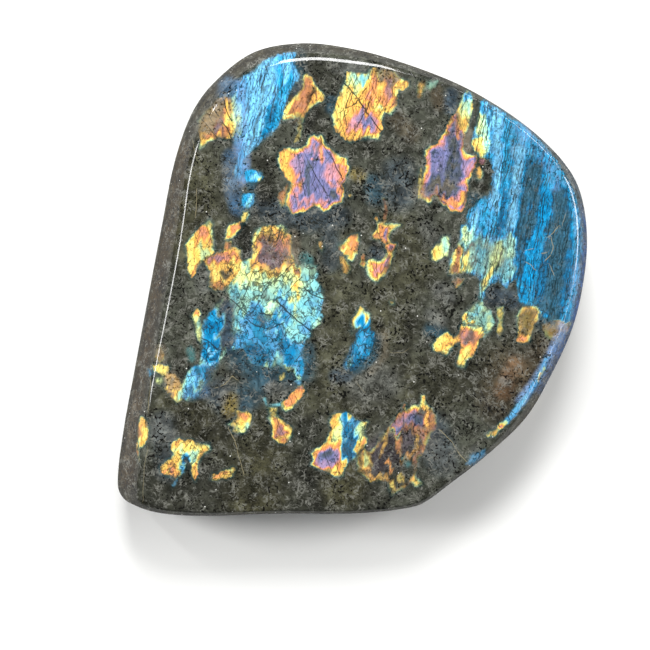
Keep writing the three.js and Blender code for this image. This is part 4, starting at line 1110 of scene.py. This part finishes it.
def stone_faces(ring_count):
    """The mesh's faces: the face's grid, the bands between the rings and the middle of the back."""
    side = FACE_GRID + 1
    grid = np.arange(side * side).reshape(side, side)
    corners = [grid[:-1, :-1], grid[1:, :-1], grid[1:, 1:], grid[:-1, 1:]]
    quads = [np.stack(corners, axis=-1).reshape(-1, 4)]
    rim = np.concatenate([grid[:-1, 0], grid[-1, :-1], grid[:0:-1, -1], grid[0, :0:-1]])
    count = len(rim)
    rings = side * side + np.arange(ring_count * count).reshape(ring_count, count)
    for upper, lower in zip([rim, *rings[:-1]], rings):
        quads.append(np.stack([upper, lower, np.roll(lower, -1), np.roll(upper, -1)], axis=1))
    middle = np.full(count, side * side + ring_count * count)
    fan = np.stack([rings[-1], middle, np.roll(rings[-1], -1)], axis=1)
    return np.concatenate(quads).tolist() + fan.tolist()


def stone_mesh(solid):
    face, rings, middle = stone_points(solid)
    places = np.concatenate([face, rings.reshape(-1, 3), middle])
    mesh = bpy.data.meshes.new("labradorite_stone")
    mesh.from_pydata(places.tolist(), [], stone_faces(len(rings)))
    mesh.shade_smooth()
    mesh.validate()
    return mesh, places / MM


# The markings, worked out at the mesh's points


def linear(colour):
    """Blender's own values of a colour given from 0 to 255."""
    share = np.array(colour) / 255
    return np.where(share <= 0.04045, share / 12.92, ((share + 0.055) / 1.055) ** 2.4)


def smoothstep(low, high, value):
    t = np.clip((value - low) / (high - low), 0, 1)
    return t * t * (3 - 2 * t)


def blend(old, new, share):
    return old + (new - old) * share


def line_distance(places, line, closed=False):
    """Each place's distance to a line of points, and on which side of the line it is."""
    if len(line) == 1:
        return np.hypot(*(places - line[0]).T), np.ones(len(places))
    ends = np.roll(line, -1, axis=0) if closed else line[1:]
    best = np.full(len(places), np.inf)
    side = np.ones(len(places))
    for start, end in zip(line, ends):
        way = end - start
        offset = places - start
        along = np.clip(offset @ way / (way @ way), 0, 1)
        gap = np.hypot(*(offset - along[:, None] * way).T)
        nearer = gap < best
        turned = way[0] * offset[:, 1] - way[1] * offset[:, 0]
        best[nearer] = gap[nearer]
        side[nearer] = np.sign(turned[nearer])
    return best, side


def inside(places, outline):
    within = np.zeros(len(places), bool)
    for start, end in zip(outline, np.roll(outline, -1, axis=0)):
        crosses = (start[1] > places[:, 1]) != (end[1] > places[:, 1])
        if start[1] != end[1]:
            slope = (end[0] - start[0]) / (end[1] - start[1])
            within ^= crosses & (places[:, 0] < start[0] + slope * (places[:, 1] - start[1]))
    return within


def near_box(places, line, margin):
    """Which of the places are in the box round a line, grown by a margin."""
    low, high = line.min(axis=0) - margin, line.max(axis=0) + margin
    return np.flatnonzero(((places > low) & (places < high)).all(axis=1))


def waves(random, count, shortest, longest, places):
    """A smooth random pattern about 0, with waves of the given lengths in millimetres."""
    total = np.zeros(len(places))
    for _ in range(count):
        length = random.uniform(shortest, longest)
        way = random.uniform(0, 2 * math.pi)
        along = places @ (math.cos(way), math.sin(way))
        total += np.sin(2 * math.pi * along / length + random.uniform(0, 2 * math.pi))
    return total / math.sqrt(count)


def fray(places):
    """The places shifted a little, mostly along the fibres of the stone, so that what is painted
    at them has frayed ends and uneven sides."""
    random = np.random.default_rng(FRAY_SEED)
    lean = math.radians(FIBRE_TURN)
    down = np.array([math.sin(-lean), math.cos(lean)])
    across = places @ (down[1], -down[0])
    along = FRAY_LONG * waves(random, *FRAY_END_WAVES, across[:, None] * (1, 0))
    wobble = [FRAY_WIDE * waves(random, *FRAY_SIDE_WAVES, places) for _ in range(2)]
    return places + along[:, None] * down + np.stack(wobble, axis=1)


def paint_zone(marks, rows, places, zone):
    """Paints one zone of flash at the places, which are those of the given rows, wherever it is
    the deepest so far."""
    outline, core = zone["outline"], zone["core"]
    near = near_box(places, outline, EDGE_REACH)
    at = places[near]
    frayed = fray(at)
    gap, _ = line_distance(at, outline, closed=True)
    depth = np.where(inside(at, outline), gap, -gap)
    (rim,) = zone["rim"]
    phase = np.full(len(near), core)
    glow = blend(*zone["glow"], smoothstep(0.5 * rim, rim, depth))
    for colour, width, strength, line in zone["strokes"]:
        gap, _ = line_distance(frayed, line)
        share = 1 - smoothstep(*STROKE_FADE, gap / width)
        glow = blend(glow, strength, share)
        if colour != "none":
            phase = blend(phase, FLASHES[colour][0], share)
    way = np.clip((core - HALO_PHASE) / (LAST_PHASE - HALO_PHASE), LEAST_WAY, MOST_WAY)
    deepest = depth > marks["edge"][rows[near]]
    painted = rows[near][deepest]
    marks["edge"][painted] = depth[deepest]
    marks["phase"][painted] = phase[deepest]
    marks["glow"][painted] = glow[deepest]
    marks["rise"][painted] = -math.log(1 - way) / rim
    for name in ZONE_CRACKS:
        marks[name][painted] = zone[name]


def paint_lines(marks, places):
    """Adds the cracks and veins to the marks: the distance to the nearest one in millimetres,
    signed by side, so that one thinner than the mesh's own spacing stays sharp, and its strength."""
    nearest = {name: np.full(len(places), LINE_REACH) for name in ("crack", "vein")}
    for name, strength, line in drawn(entries(LINES)):
        near = near_box(places, line, LINE_REACH)
        gap, side = line_distance(places[near], line)
        closer = gap < nearest[name][near]
        rows = near[closer]
        nearest[name][rows] = gap[closer]
        marks[name + "_side"][rows] = (gap * side)[closer]
        fade = 1 - smoothstep(0.5 * LINE_REACH, LINE_REACH, gap[closer])
        marks[name][rows] = strength * fade


def paint_hidden(marks, places):
    """Flashes on the back and the side wall, which the photograph doesn't show. Their shapes are a
    pattern in the material; here are where they may be, and their colours and strength."""
    random = np.random.default_rng(HIDDEN_SEED)
    height = places[:, 2]
    marks["hidden"] = 1 - smoothstep(HIDDEN_LOW, HIDDEN_HIGH, height)
    rows = np.flatnonzero(height < HIDDEN_HIGH)
    sloping = places[rows, :2] + places[rows, 2:]
    marks["phase"][rows] = 0.4 + 0.5 * waves(random, *HIDDEN_WAVES, sloping)
    marks["glow"][rows] = np.clip(0.45 + 0.3 * waves(random, *HIDDEN_WAVES, sloping), 0.1, 0.75)
    marks["rise"][rows] = HIDDEN_RISE
    for name, strength in HIDDEN_CRACKS.items():
        marks[name][rows] = strength


def paint_rock(marks, places, seen):
    """Tints the rock: the painted shade that darkens the rims and sides, clouds where the photograph
    doesn't show it, and the drawn tints on the face and the rims, some of them painted shade and sheen."""
    rock = np.tile(linear(ROCKS["rock"]), (len(places), 1))
    height = places[:, 2]
    # Painted shade: the rims, the side wall and the back are darkened towards the rim colour
    sides = RIM_SHADE_SHARE * smoothstep(RIM_SHADE_TOP, RIM_SHADE_TOP - RIM_SHADE_BLEND, height)
    rock = blend(rock, linear(ROCKS["rim"]), sides[:, None])

    shown = smoothstep(TINT_BOTTOM, TINT_TOP, height)
    random = np.random.default_rng(HIDDEN_SEED)
    sloping = places[:, :2] + places[:, 2:]
    for name, strength in HIDDEN_CLOUDS.items():
        share = strength * (1 - shown) * smoothstep(0.1, 1.1, waves(random, *CLOUD_WAVES, sloping))
        rock = blend(rock, linear(ROCKS[name]), share[:, None])

    # Among the drawn tints are painted sheen and painted shade along the rims
    for name, width, strength, line in drawn(entries(TINTS)):
        near = near_box(seen, line, TINT_FADE[1] * width)
        gap, _ = line_distance(seen[near], line)
        share = strength * (1 - smoothstep(*TINT_FADE, gap / width)) * shown[near]
        rock[near] = blend(rock[near], linear(ROCKS[name]), share[:, None])
    marks["rock"] = rock


def seen_from_camera(places):
    """Where the camera sees the places on the level of the polished face."""
    camera = np.array([CAMERA_X, CAMERA_Y])
    top = places[:, 2].max()
    grow = (CAMERA_HEIGHT - top) / (CAMERA_HEIGHT - places[:, 2])
    return camera + (places[:, :2] - camera) * grow[:, None] - MARKS_ORIGIN


def stone_marks(places):
    marks = {name: np.full(len(places), value) for name, value in UNPAINTED.items()}
    seen = seen_from_camera(places)
    height = places[:, 2]
    front = np.flatnonzero(height > FRONT_BOTTOM)
    for text in ZONES.split("\n\n"):
        paint_zone(marks, front, seen[front], drawn_zone(text))
    marks["edge"] -= np.clip(FRONT_FADE - height, 0, None) * FADE_RATE
    marks["edge"] = np.maximum(marks["edge"], -EDGE_REACH)
    paint_hidden(marks, places)
    paint_lines(marks, seen)
    paint_rock(marks, places, seen)
    return marks


def write_marks(mesh, marks):
    for name, values in marks.items():
        if values.ndim == 1:
            attribute = mesh.attributes.new(name, "FLOAT", "POINT")
            attribute.data.foreach_set("value", values.astype(np.float32))
        else:
            attribute = mesh.attributes.new(name, "FLOAT_COLOR", "POINT")
            colours = np.concatenate([values, np.ones((len(values), 1))], axis=1)
            attribute.data.foreach_set("color", colours.astype(np.float32).ravel())


# The materials


class Value:
    """A value that a material's nodes work out. A formula of values makes the nodes for it."""

    def __init__(self, nodes, socket):
        self.nodes = nodes
        self.socket = socket

    def __add__(self, other):
        return self.nodes.math("ADD", self, other)

    def __sub__(self, other):
        return self.nodes.math("SUBTRACT", self, other)

    def __rsub__(self, other):
        return self.nodes.math("SUBTRACT", other, self)

    def __mul__(self, other):
        return self.nodes.math("MULTIPLY", self, other)

    def __truediv__(self, other):
        return self.nodes.math("DIVIDE", self, other)

    def centred(self, reach):
        """A pattern that lies about 0.5, moved to lie about 0 and scaled."""
        return (self - 0.5) * reach

    def smooth(self, low, high, start, end):
        """A smooth change from start at low to end at high."""
        inputs = {"Value": self, "From Min": low, "From Max": high, "To Min": start, "To Max": end}
        return self.nodes.made("MapRange", inputs, interpolation_type="SMOOTHSTEP")

    def step(self, low, high):
        """A smooth rise from 0 at low to 1 at high, or a fall where high is below low."""
        return self.smooth(low, high, 0.0, 1.0) if low < high else self.smooth(high, low, 1.0, 0.0)

    def near_zero(self, low, high):
        """1 where the value is within low of zero, falling to 0 at high."""
        return self.nodes.math("ABSOLUTE", self).smooth(low, high, 1.0, 0.0)


class Nodes:
    """A new material and its nodes."""

    def __init__(self, name):
        self.material = bpy.data.materials.new(name)
        self.material.use_nodes = True
        self.tree = self.material.node_tree
        self.tree.nodes.clear()
        self.place = self.made("TexCoord", output="Object")

    def node(self, kind, inputs=(), **settings):
        node = self.tree.nodes.new("ShaderNode" + kind)
        for name, value in settings.items():
            setattr(node, name, value)
        for key, value in dict(inputs).items():
            if isinstance(value, Value):
                self.tree.links.new(value.socket, node.inputs[key])
            else:
                node.inputs[key].default_value = value
        return node

    def made(self, kind, inputs=(), output=0, **settings):
        """A new node's output, as a value."""
        return Value(self, self.node(kind, inputs, **settings).outputs[output])

    def math(self, operation, *values, clamp=False):
        return self.made("Math", dict(enumerate(values)), operation=operation, use_clamp=clamp)

    def attribute(self, name, output="Fac"):
        return self.made("Attribute", output=output, attribute_name=name)

    def mix(self, share, under, over):
        """One colour over another. The upper one may be given from 0 to 255."""
        over = over if isinstance(over, Value) else (*linear(over), 1)
        return self.made("Mix", {0: share, 6: under, 7: over}, 2, data_type="RGBA")

    def scaled(self, colour, factor):
        return self.made("VectorMath", {0: colour, "Scale": factor}, operation="SCALE")

    def spread(self, size, shift=0.0, turn=0.0, vector=None):
        """Coordinates in which a pattern's features are of the given size in millimetres, after a
        turn in degrees about the upright axis. The shift sets like patterns apart."""
        sizes = size if isinstance(size, tuple) else (size,) * 3
        inputs = {"Vector": vector or self.place, "Rotation": (0, 0, math.radians(turn)),
                  "Scale": [MM * s for s in sizes], "Location": (shift,) * 3}
        return self.made("Mapping", inputs, vector_type="TEXTURE")

    def grain(self, size, shift=0.0, turn=0.0, detail=2.0, roughness=0.5, distortion=0.0, output="Fac"):
        """A cloudy pattern."""
        inputs = {"Vector": self.spread(size, shift, turn), "Scale": 1.0, "Detail": detail,
                  "Roughness": roughness, "Distortion": distortion}
        return self.made("TexNoise", inputs, output)

    def cells(self, vector, feature, output="Distance"):
        """A pattern of cells."""
        return self.made("TexVoronoi", {"Vector": vector, "Scale": 1.0}, output, feature=feature)

    def ramp(self, value, stops):
        """A colour that goes through the stops, which are places and colours."""
        node = self.node("ValToRGB", {"Fac": value})
        elements = node.color_ramp.elements
        while len(elements) > 1:
            elements.remove(elements[-1])
        for number, (place, colour) in enumerate(stops):
            element = elements[0] if number == 0 else elements.new(place)
            element.position = place
            element.color = (*linear(colour), 1)
        return Value(self, node.outputs[0])

    def finished(self, surface):
        """The material, with the shader's values."""
        self.node("OutputMaterial", {"Surface": self.made("BsdfPrincipled", surface)})
        return self.material


def rock_colour(nodes):
    """Dark feldspar rock: a mottled ground with short pale and dark scratches, curls, black pits in
    clusters and a few painted highlights, small white sparks. Also returns where the pits are."""
    mottle = nodes.grain(2.0, 0.3, detail=4.0, roughness=0.6, distortion=0.7)
    light = nodes.grain(4.5).centred(2.4) + mottle.centred(4.9)
    ground = nodes.scaled(nodes.attribute("rock", "Color"), nodes.math("POWER", 2.0, light))

    for turn, shift, tone in SCRATCHES:
        strands = nodes.grain((0.22, 1.3, 1.0), shift, turn, roughness=0.6)
        ground = nodes.mix(strands.step(0.6, 0.74) * 0.26, ground, (tone, tone, tone - 8))
        ground = nodes.mix(strands.step(0.38, 0.27) * 0.5, ground, HOLLOW)

    for size, shift, strength, tone in CURLS:
        curls = nodes.grain(size, shift, detail=1.0, distortion=1.6)
        kept = nodes.grain(2.2, shift + 0.1).step(0.48, 0.62)
        wisps = (curls - 0.5).near_zero(0.01, 0.075) * kept
        ground = nodes.mix(wisps * strength, ground, (tone, tone, tone - 8))

    clusters = nodes.grain(4.5, 0.4).step(0.44, 0.62)
    threshold = 0.7 - clusters * 0.12
    pits = (nodes.grain(0.55, 0.5, detail=1.0) - threshold).step(-0.02, 0.02)
    ground = nodes.mix(pits * 0.95, ground, PIT)
    # Painted highlights: small white sparks of reflected light painted into the colour
    painted_glints = nodes.cells(nodes.spread(2.6, 0.6), "F1").step(0.06, 0.04)
    return nodes.mix(painted_glints * 0.8, ground, PAINTED_GLINT), pits


def flash_edge(nodes):
    """How many millimetres a place is inside the edge of its flash, or below 0 outside it. Low on
    the slab a pattern takes the place of the drawn zones."""
    patches = nodes.grain((6.0, 9.0, 7.0), 0.95, detail=3.0, distortion=0.8)
    allowed = nodes.attribute("hidden") * HIDDEN_DEPTH
    buried = patches.centred(HIDDEN_REACH) + allowed - (HIDDEN_DEPTH + HIDDEN_GAP)
    ragged = nodes.grain(0.8, 0.9, detail=3.0, roughness=0.6)
    return nodes.math("MAXIMUM", nodes.attribute("edge"), buried) + ragged.centred(1.0)


def crack_lines(nodes, name, thickness):
    """One set of drawn lines, which wander a little about the line that was drawn."""
    side = nodes.attribute(name + "_side") + nodes.grain(1.5, 0.45).centred(0.6)
    broken = nodes.grain(1.1, 0.65).step(0.28, 0.42)
    strength = nodes.attribute(name)
    width = strength * thickness
    return side.near_zero(width * 0.4, width) * broken * strength


def crack_net(nodes):
    """The fine net of cracks that cuts up a flash, and a random value for each of its cells."""
    wander = nodes.grain(1.6, output="Color")
    bent = nodes.made("VectorMath", {0: wander, 1: (2.2 * MM,) * 3, 2: nodes.place},
                      operation="MULTIPLY_ADD")
    large = nodes.spread((1.6, 2.3, 3.0), turn=35, vector=bent)
    small = nodes.spread((0.7, 1.1, 2.0), turn=-34.38, vector=bent)
    weight = nodes.grain(1.5, 0.75).step(0.38, 0.6)
    patchy = nodes.grain(1.8, 0.7).step(0.45, 0.6)
    lines = nodes.cells(large, "DISTANCE_TO_EDGE").step(0.07, 0.02) * weight
    lines += nodes.cells(small, "DISTANCE_TO_EDGE").step(0.14, 0.04) * 0.85 * patchy
    cell = nodes.made("SeparateColor", {0: nodes.cells(large, "F1", "Color")})
    return lines * nodes.attribute("net"), cell


def fractures(nodes, turn, spacing, thickness, bend, shift, keep=0.46):
    """Long thin cracks that run one way through the stone, here and there broken off."""
    across = nodes.made("SeparateXYZ", {0: nodes.spread(1.0, turn=turn)})
    row = (across + nodes.grain(2.6, shift).centred(bend)) / spacing
    gap = nodes.made("TexVoronoi", {"W": row + 10 * shift, "Scale": 1.0}, "Distance",
                     voronoi_dimensions="1D", feature="DISTANCE_TO_EDGE")
    lines = (gap * spacing).step(thickness, 0.3 * thickness)
    return lines * nodes.grain((1.3, 4.5, 2.0), shift, turn, detail=1.0).step(keep, keep + 0.1)


def flash_cracks(nodes, drawn_cracks, net):
    """Where a flash is cracked: the drawn cracks, the net, and long thin ones in four directions."""
    wavy = fractures(nodes, turn=-10, spacing=0.7, thickness=0.13, bend=1.6, shift=0.15)
    wavy += fractures(nodes, turn=-12, spacing=2.2, thickness=0.17, bend=1.6, shift=0.25)
    straight = fractures(nodes, turn=22, spacing=1.25, thickness=0.12, bend=0.8, shift=0.35, keep=0.48)
    straight += fractures(nodes, turn=-32, spacing=1.5, thickness=0.11, bend=0.8, shift=0.45, keep=0.48)
    strands = wavy * nodes.attribute("fibre") + straight * nodes.attribute("straight")
    return nodes.math("ADD", drawn_cracks + net, strands, clamp=True)


def flash_colour(nodes, edge, cell):
    """The colour of a flash: its phase climbs from a thin pale halo at the edge to that of its
    middle, and fibres run down through it."""
    fibre, net = nodes.attribute("fibre"), nodes.attribute("net")
    broad = nodes.grain((0.5, 8.0, 2.0), turn=FIBRE_TURN, detail=3.0, roughness=0.6)
    fine = nodes.grain((0.36, 1.1, 1.0), 0.2, FIBRE_TURN, distortion=1.0)
    hue = nodes.grain(1.8, 0.55)
    varied = nodes.grain(3.2, 0.6, detail=1.0).step(0.45, 0.62)
    start = varied * HALO_SPREAD + HALO_PHASE
    rise = nodes.attribute("rise") * (nodes.grain(2.6, 0.35, detail=1.0).centred(3.2) + 1.05)
    left = nodes.math("EXPONENT", nodes.math("MAXIMUM", edge, 0.0) * (rise * -1.0))
    climb = LAST_PHASE - left * (LAST_PHASE - start)
    shift = broad.centred(0.1) * fibre + hue.centred(0.08) + cell.centred(0.08) * net
    phase = nodes.math("MINIMUM", nodes.attribute("phase"), climb) + shift
    light = fine.centred(2.7) * (fibre + 0.15) + 1.0
    light += broad.centred(1.3) * fibre + cell.centred(0.35) * net
    return nodes.scaled(nodes.ramp(phase, FLASHES.values()), nodes.math("MAXIMUM", light, 0.25))


def flash_share(nodes, edge, pits, cracks):
    """How strongly the flash shows over the rock. A dim one is patchy."""
    glow = nodes.attribute("glow")
    uneven = nodes.grain(3.0, 0.25, detail=3.0, roughness=0.6)
    fade = nodes.grain(2.6, 0.65, detail=1.0).step(0.48, 0.66) * 0.9 + 0.35
    lit = nodes.math("DIVIDE", edge + 0.1, fade, clamp=True) * (glow * (uneven.centred(0.5) + 1.0))
    dimness = nodes.math("SUBTRACT", 1.0, glow, clamp=True)
    patchy = nodes.grain(0.9, 0.85, detail=3.0).centred(3.4) * dimness + 1.0
    return nodes.math("MULTIPLY", lit * (1.0 - pits * 0.55) * patchy, 1.0 - cracks * 0.2, clamp=True)


def labradorite():
    """Polished labradorite: flashes of colour in dark rock under a glassy surface."""
    nodes = Nodes("labradorite")
    edge = flash_edge(nodes)
    rock, pits = rock_colour(nodes)
    net, cell = crack_net(nodes)
    drawn_cracks = crack_lines(nodes, "crack", thickness=0.22)
    cracks = flash_cracks(nodes, drawn_cracks, net)
    flash = nodes.scaled(flash_colour(nodes, edge, cell), 1.0 - cracks * 0.78)

    aura = edge.step(-0.7, 0.0) * (nodes.attribute("glow") * 0.26)
    colour = nodes.mix(aura, rock, AURA)
    colour = nodes.mix(flash_share(nodes, edge, pits, cracks), colour, flash)
    colour = nodes.mix(drawn_cracks * 0.6, colour, CRACK)
    colour = nodes.mix(crack_lines(nodes, "vein", thickness=0.16), colour, VEIN)

    height = nodes.grain(9.0, detail=1.0) - pits
    ripple = nodes.made("Bump", {"Strength": 0.25, "Distance": 0.02 * MM, "Height": height})
    return nodes.finished({
        "Base Color": colour,
        "Roughness": 0.4,
        "IOR": 1.55,
        "Specular IOR Level": 0.0,
        "Coat Weight": 0.16,
        "Coat Roughness": 0.035,
        "Coat IOR": 3.2,
        "Coat Normal": ripple,
    })


def floor_material():
    nodes = Nodes("floor")
    colour = nodes.ramp(nodes.grain(60.0), zip((0.0, 1.0), FLOOR_TONES))
    return nodes.finished({"Base Color": colour, "Roughness": 0.8, "Specular IOR Level": 0.1})


# The stone and the studio


def placed(name, data):
    """A new object in the scene."""
    made = bpy.data.objects.new(name, data)
    bpy.context.collection.objects.link(made)
    return made


def stone(solid):
    mesh, places = stone_mesh(solid)
    write_marks(mesh, stone_marks(places))
    mesh.materials.append(labradorite())
    made = placed("labradorite_stone", mesh)
    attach(made, "root")
    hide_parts("stone")


def floor():
    half = FLOOR_SIZE / 2
    mesh = bpy.data.meshes.new("floor")
    corners = [(-half, -half, 0), (half, -half, 0), (half, half, 0), (-half, half, 0)]
    mesh.from_pydata(corners, [], [(0, 1, 2, 3)])
    mesh.materials.append(floor_material())
    made = placed("floor", mesh)


def softbox(name, bearing, zenith, width, height, power):
    light = bpy.data.lights.new(name, "AREA")
    light.shape = "RECTANGLE"
    light.size = width
    light.size_y = height
    light.energy = power
    made = placed(name, light)
    turn, lean = math.radians(bearing), math.radians(zenith)
    out = LIGHT_DISTANCE * math.sin(lean)
    made.location = (out * math.cos(turn), out * math.sin(turn), LIGHT_DISTANCE * math.cos(lean))
    made.rotation_euler = made.location.to_track_quat("Z", "Y").to_euler()


def studio():
    scene = bpy.context.scene
    scene.world = bpy.data.worlds.new("studio")
    scene.world.use_nodes = True
    background = scene.world.node_tree.nodes["Background"]
    background.inputs["Color"].default_value = (*WORLD_COLOUR, 1)
    background.inputs["Strength"].default_value = WORLD_STRENGTH
    for name, measures in SOFTBOXES.items():
        softbox(name, *measures)
    scene.view_settings.view_transform = "Standard"
    scene.view_settings.look = "None"


def camera():
    lens = bpy.data.cameras.new("camera")
    lens.lens = CAMERA_FOCAL
    lens.sensor_width = CAMERA_SENSOR
    lens.clip_start = CAMERA_CLIP * MM
    made = placed("camera", lens)
    made.location = (CAMERA_X * MM, CAMERA_Y * MM, CAMERA_HEIGHT * MM)
    bpy.context.scene.camera = made


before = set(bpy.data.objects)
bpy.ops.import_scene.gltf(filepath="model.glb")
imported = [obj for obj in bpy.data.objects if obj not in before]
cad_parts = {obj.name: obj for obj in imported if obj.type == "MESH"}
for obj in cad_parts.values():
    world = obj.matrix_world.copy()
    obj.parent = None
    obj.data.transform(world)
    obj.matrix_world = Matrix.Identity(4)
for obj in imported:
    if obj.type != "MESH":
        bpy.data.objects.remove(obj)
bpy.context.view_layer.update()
stone(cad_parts["stone"])
floor()
studio()
camera()
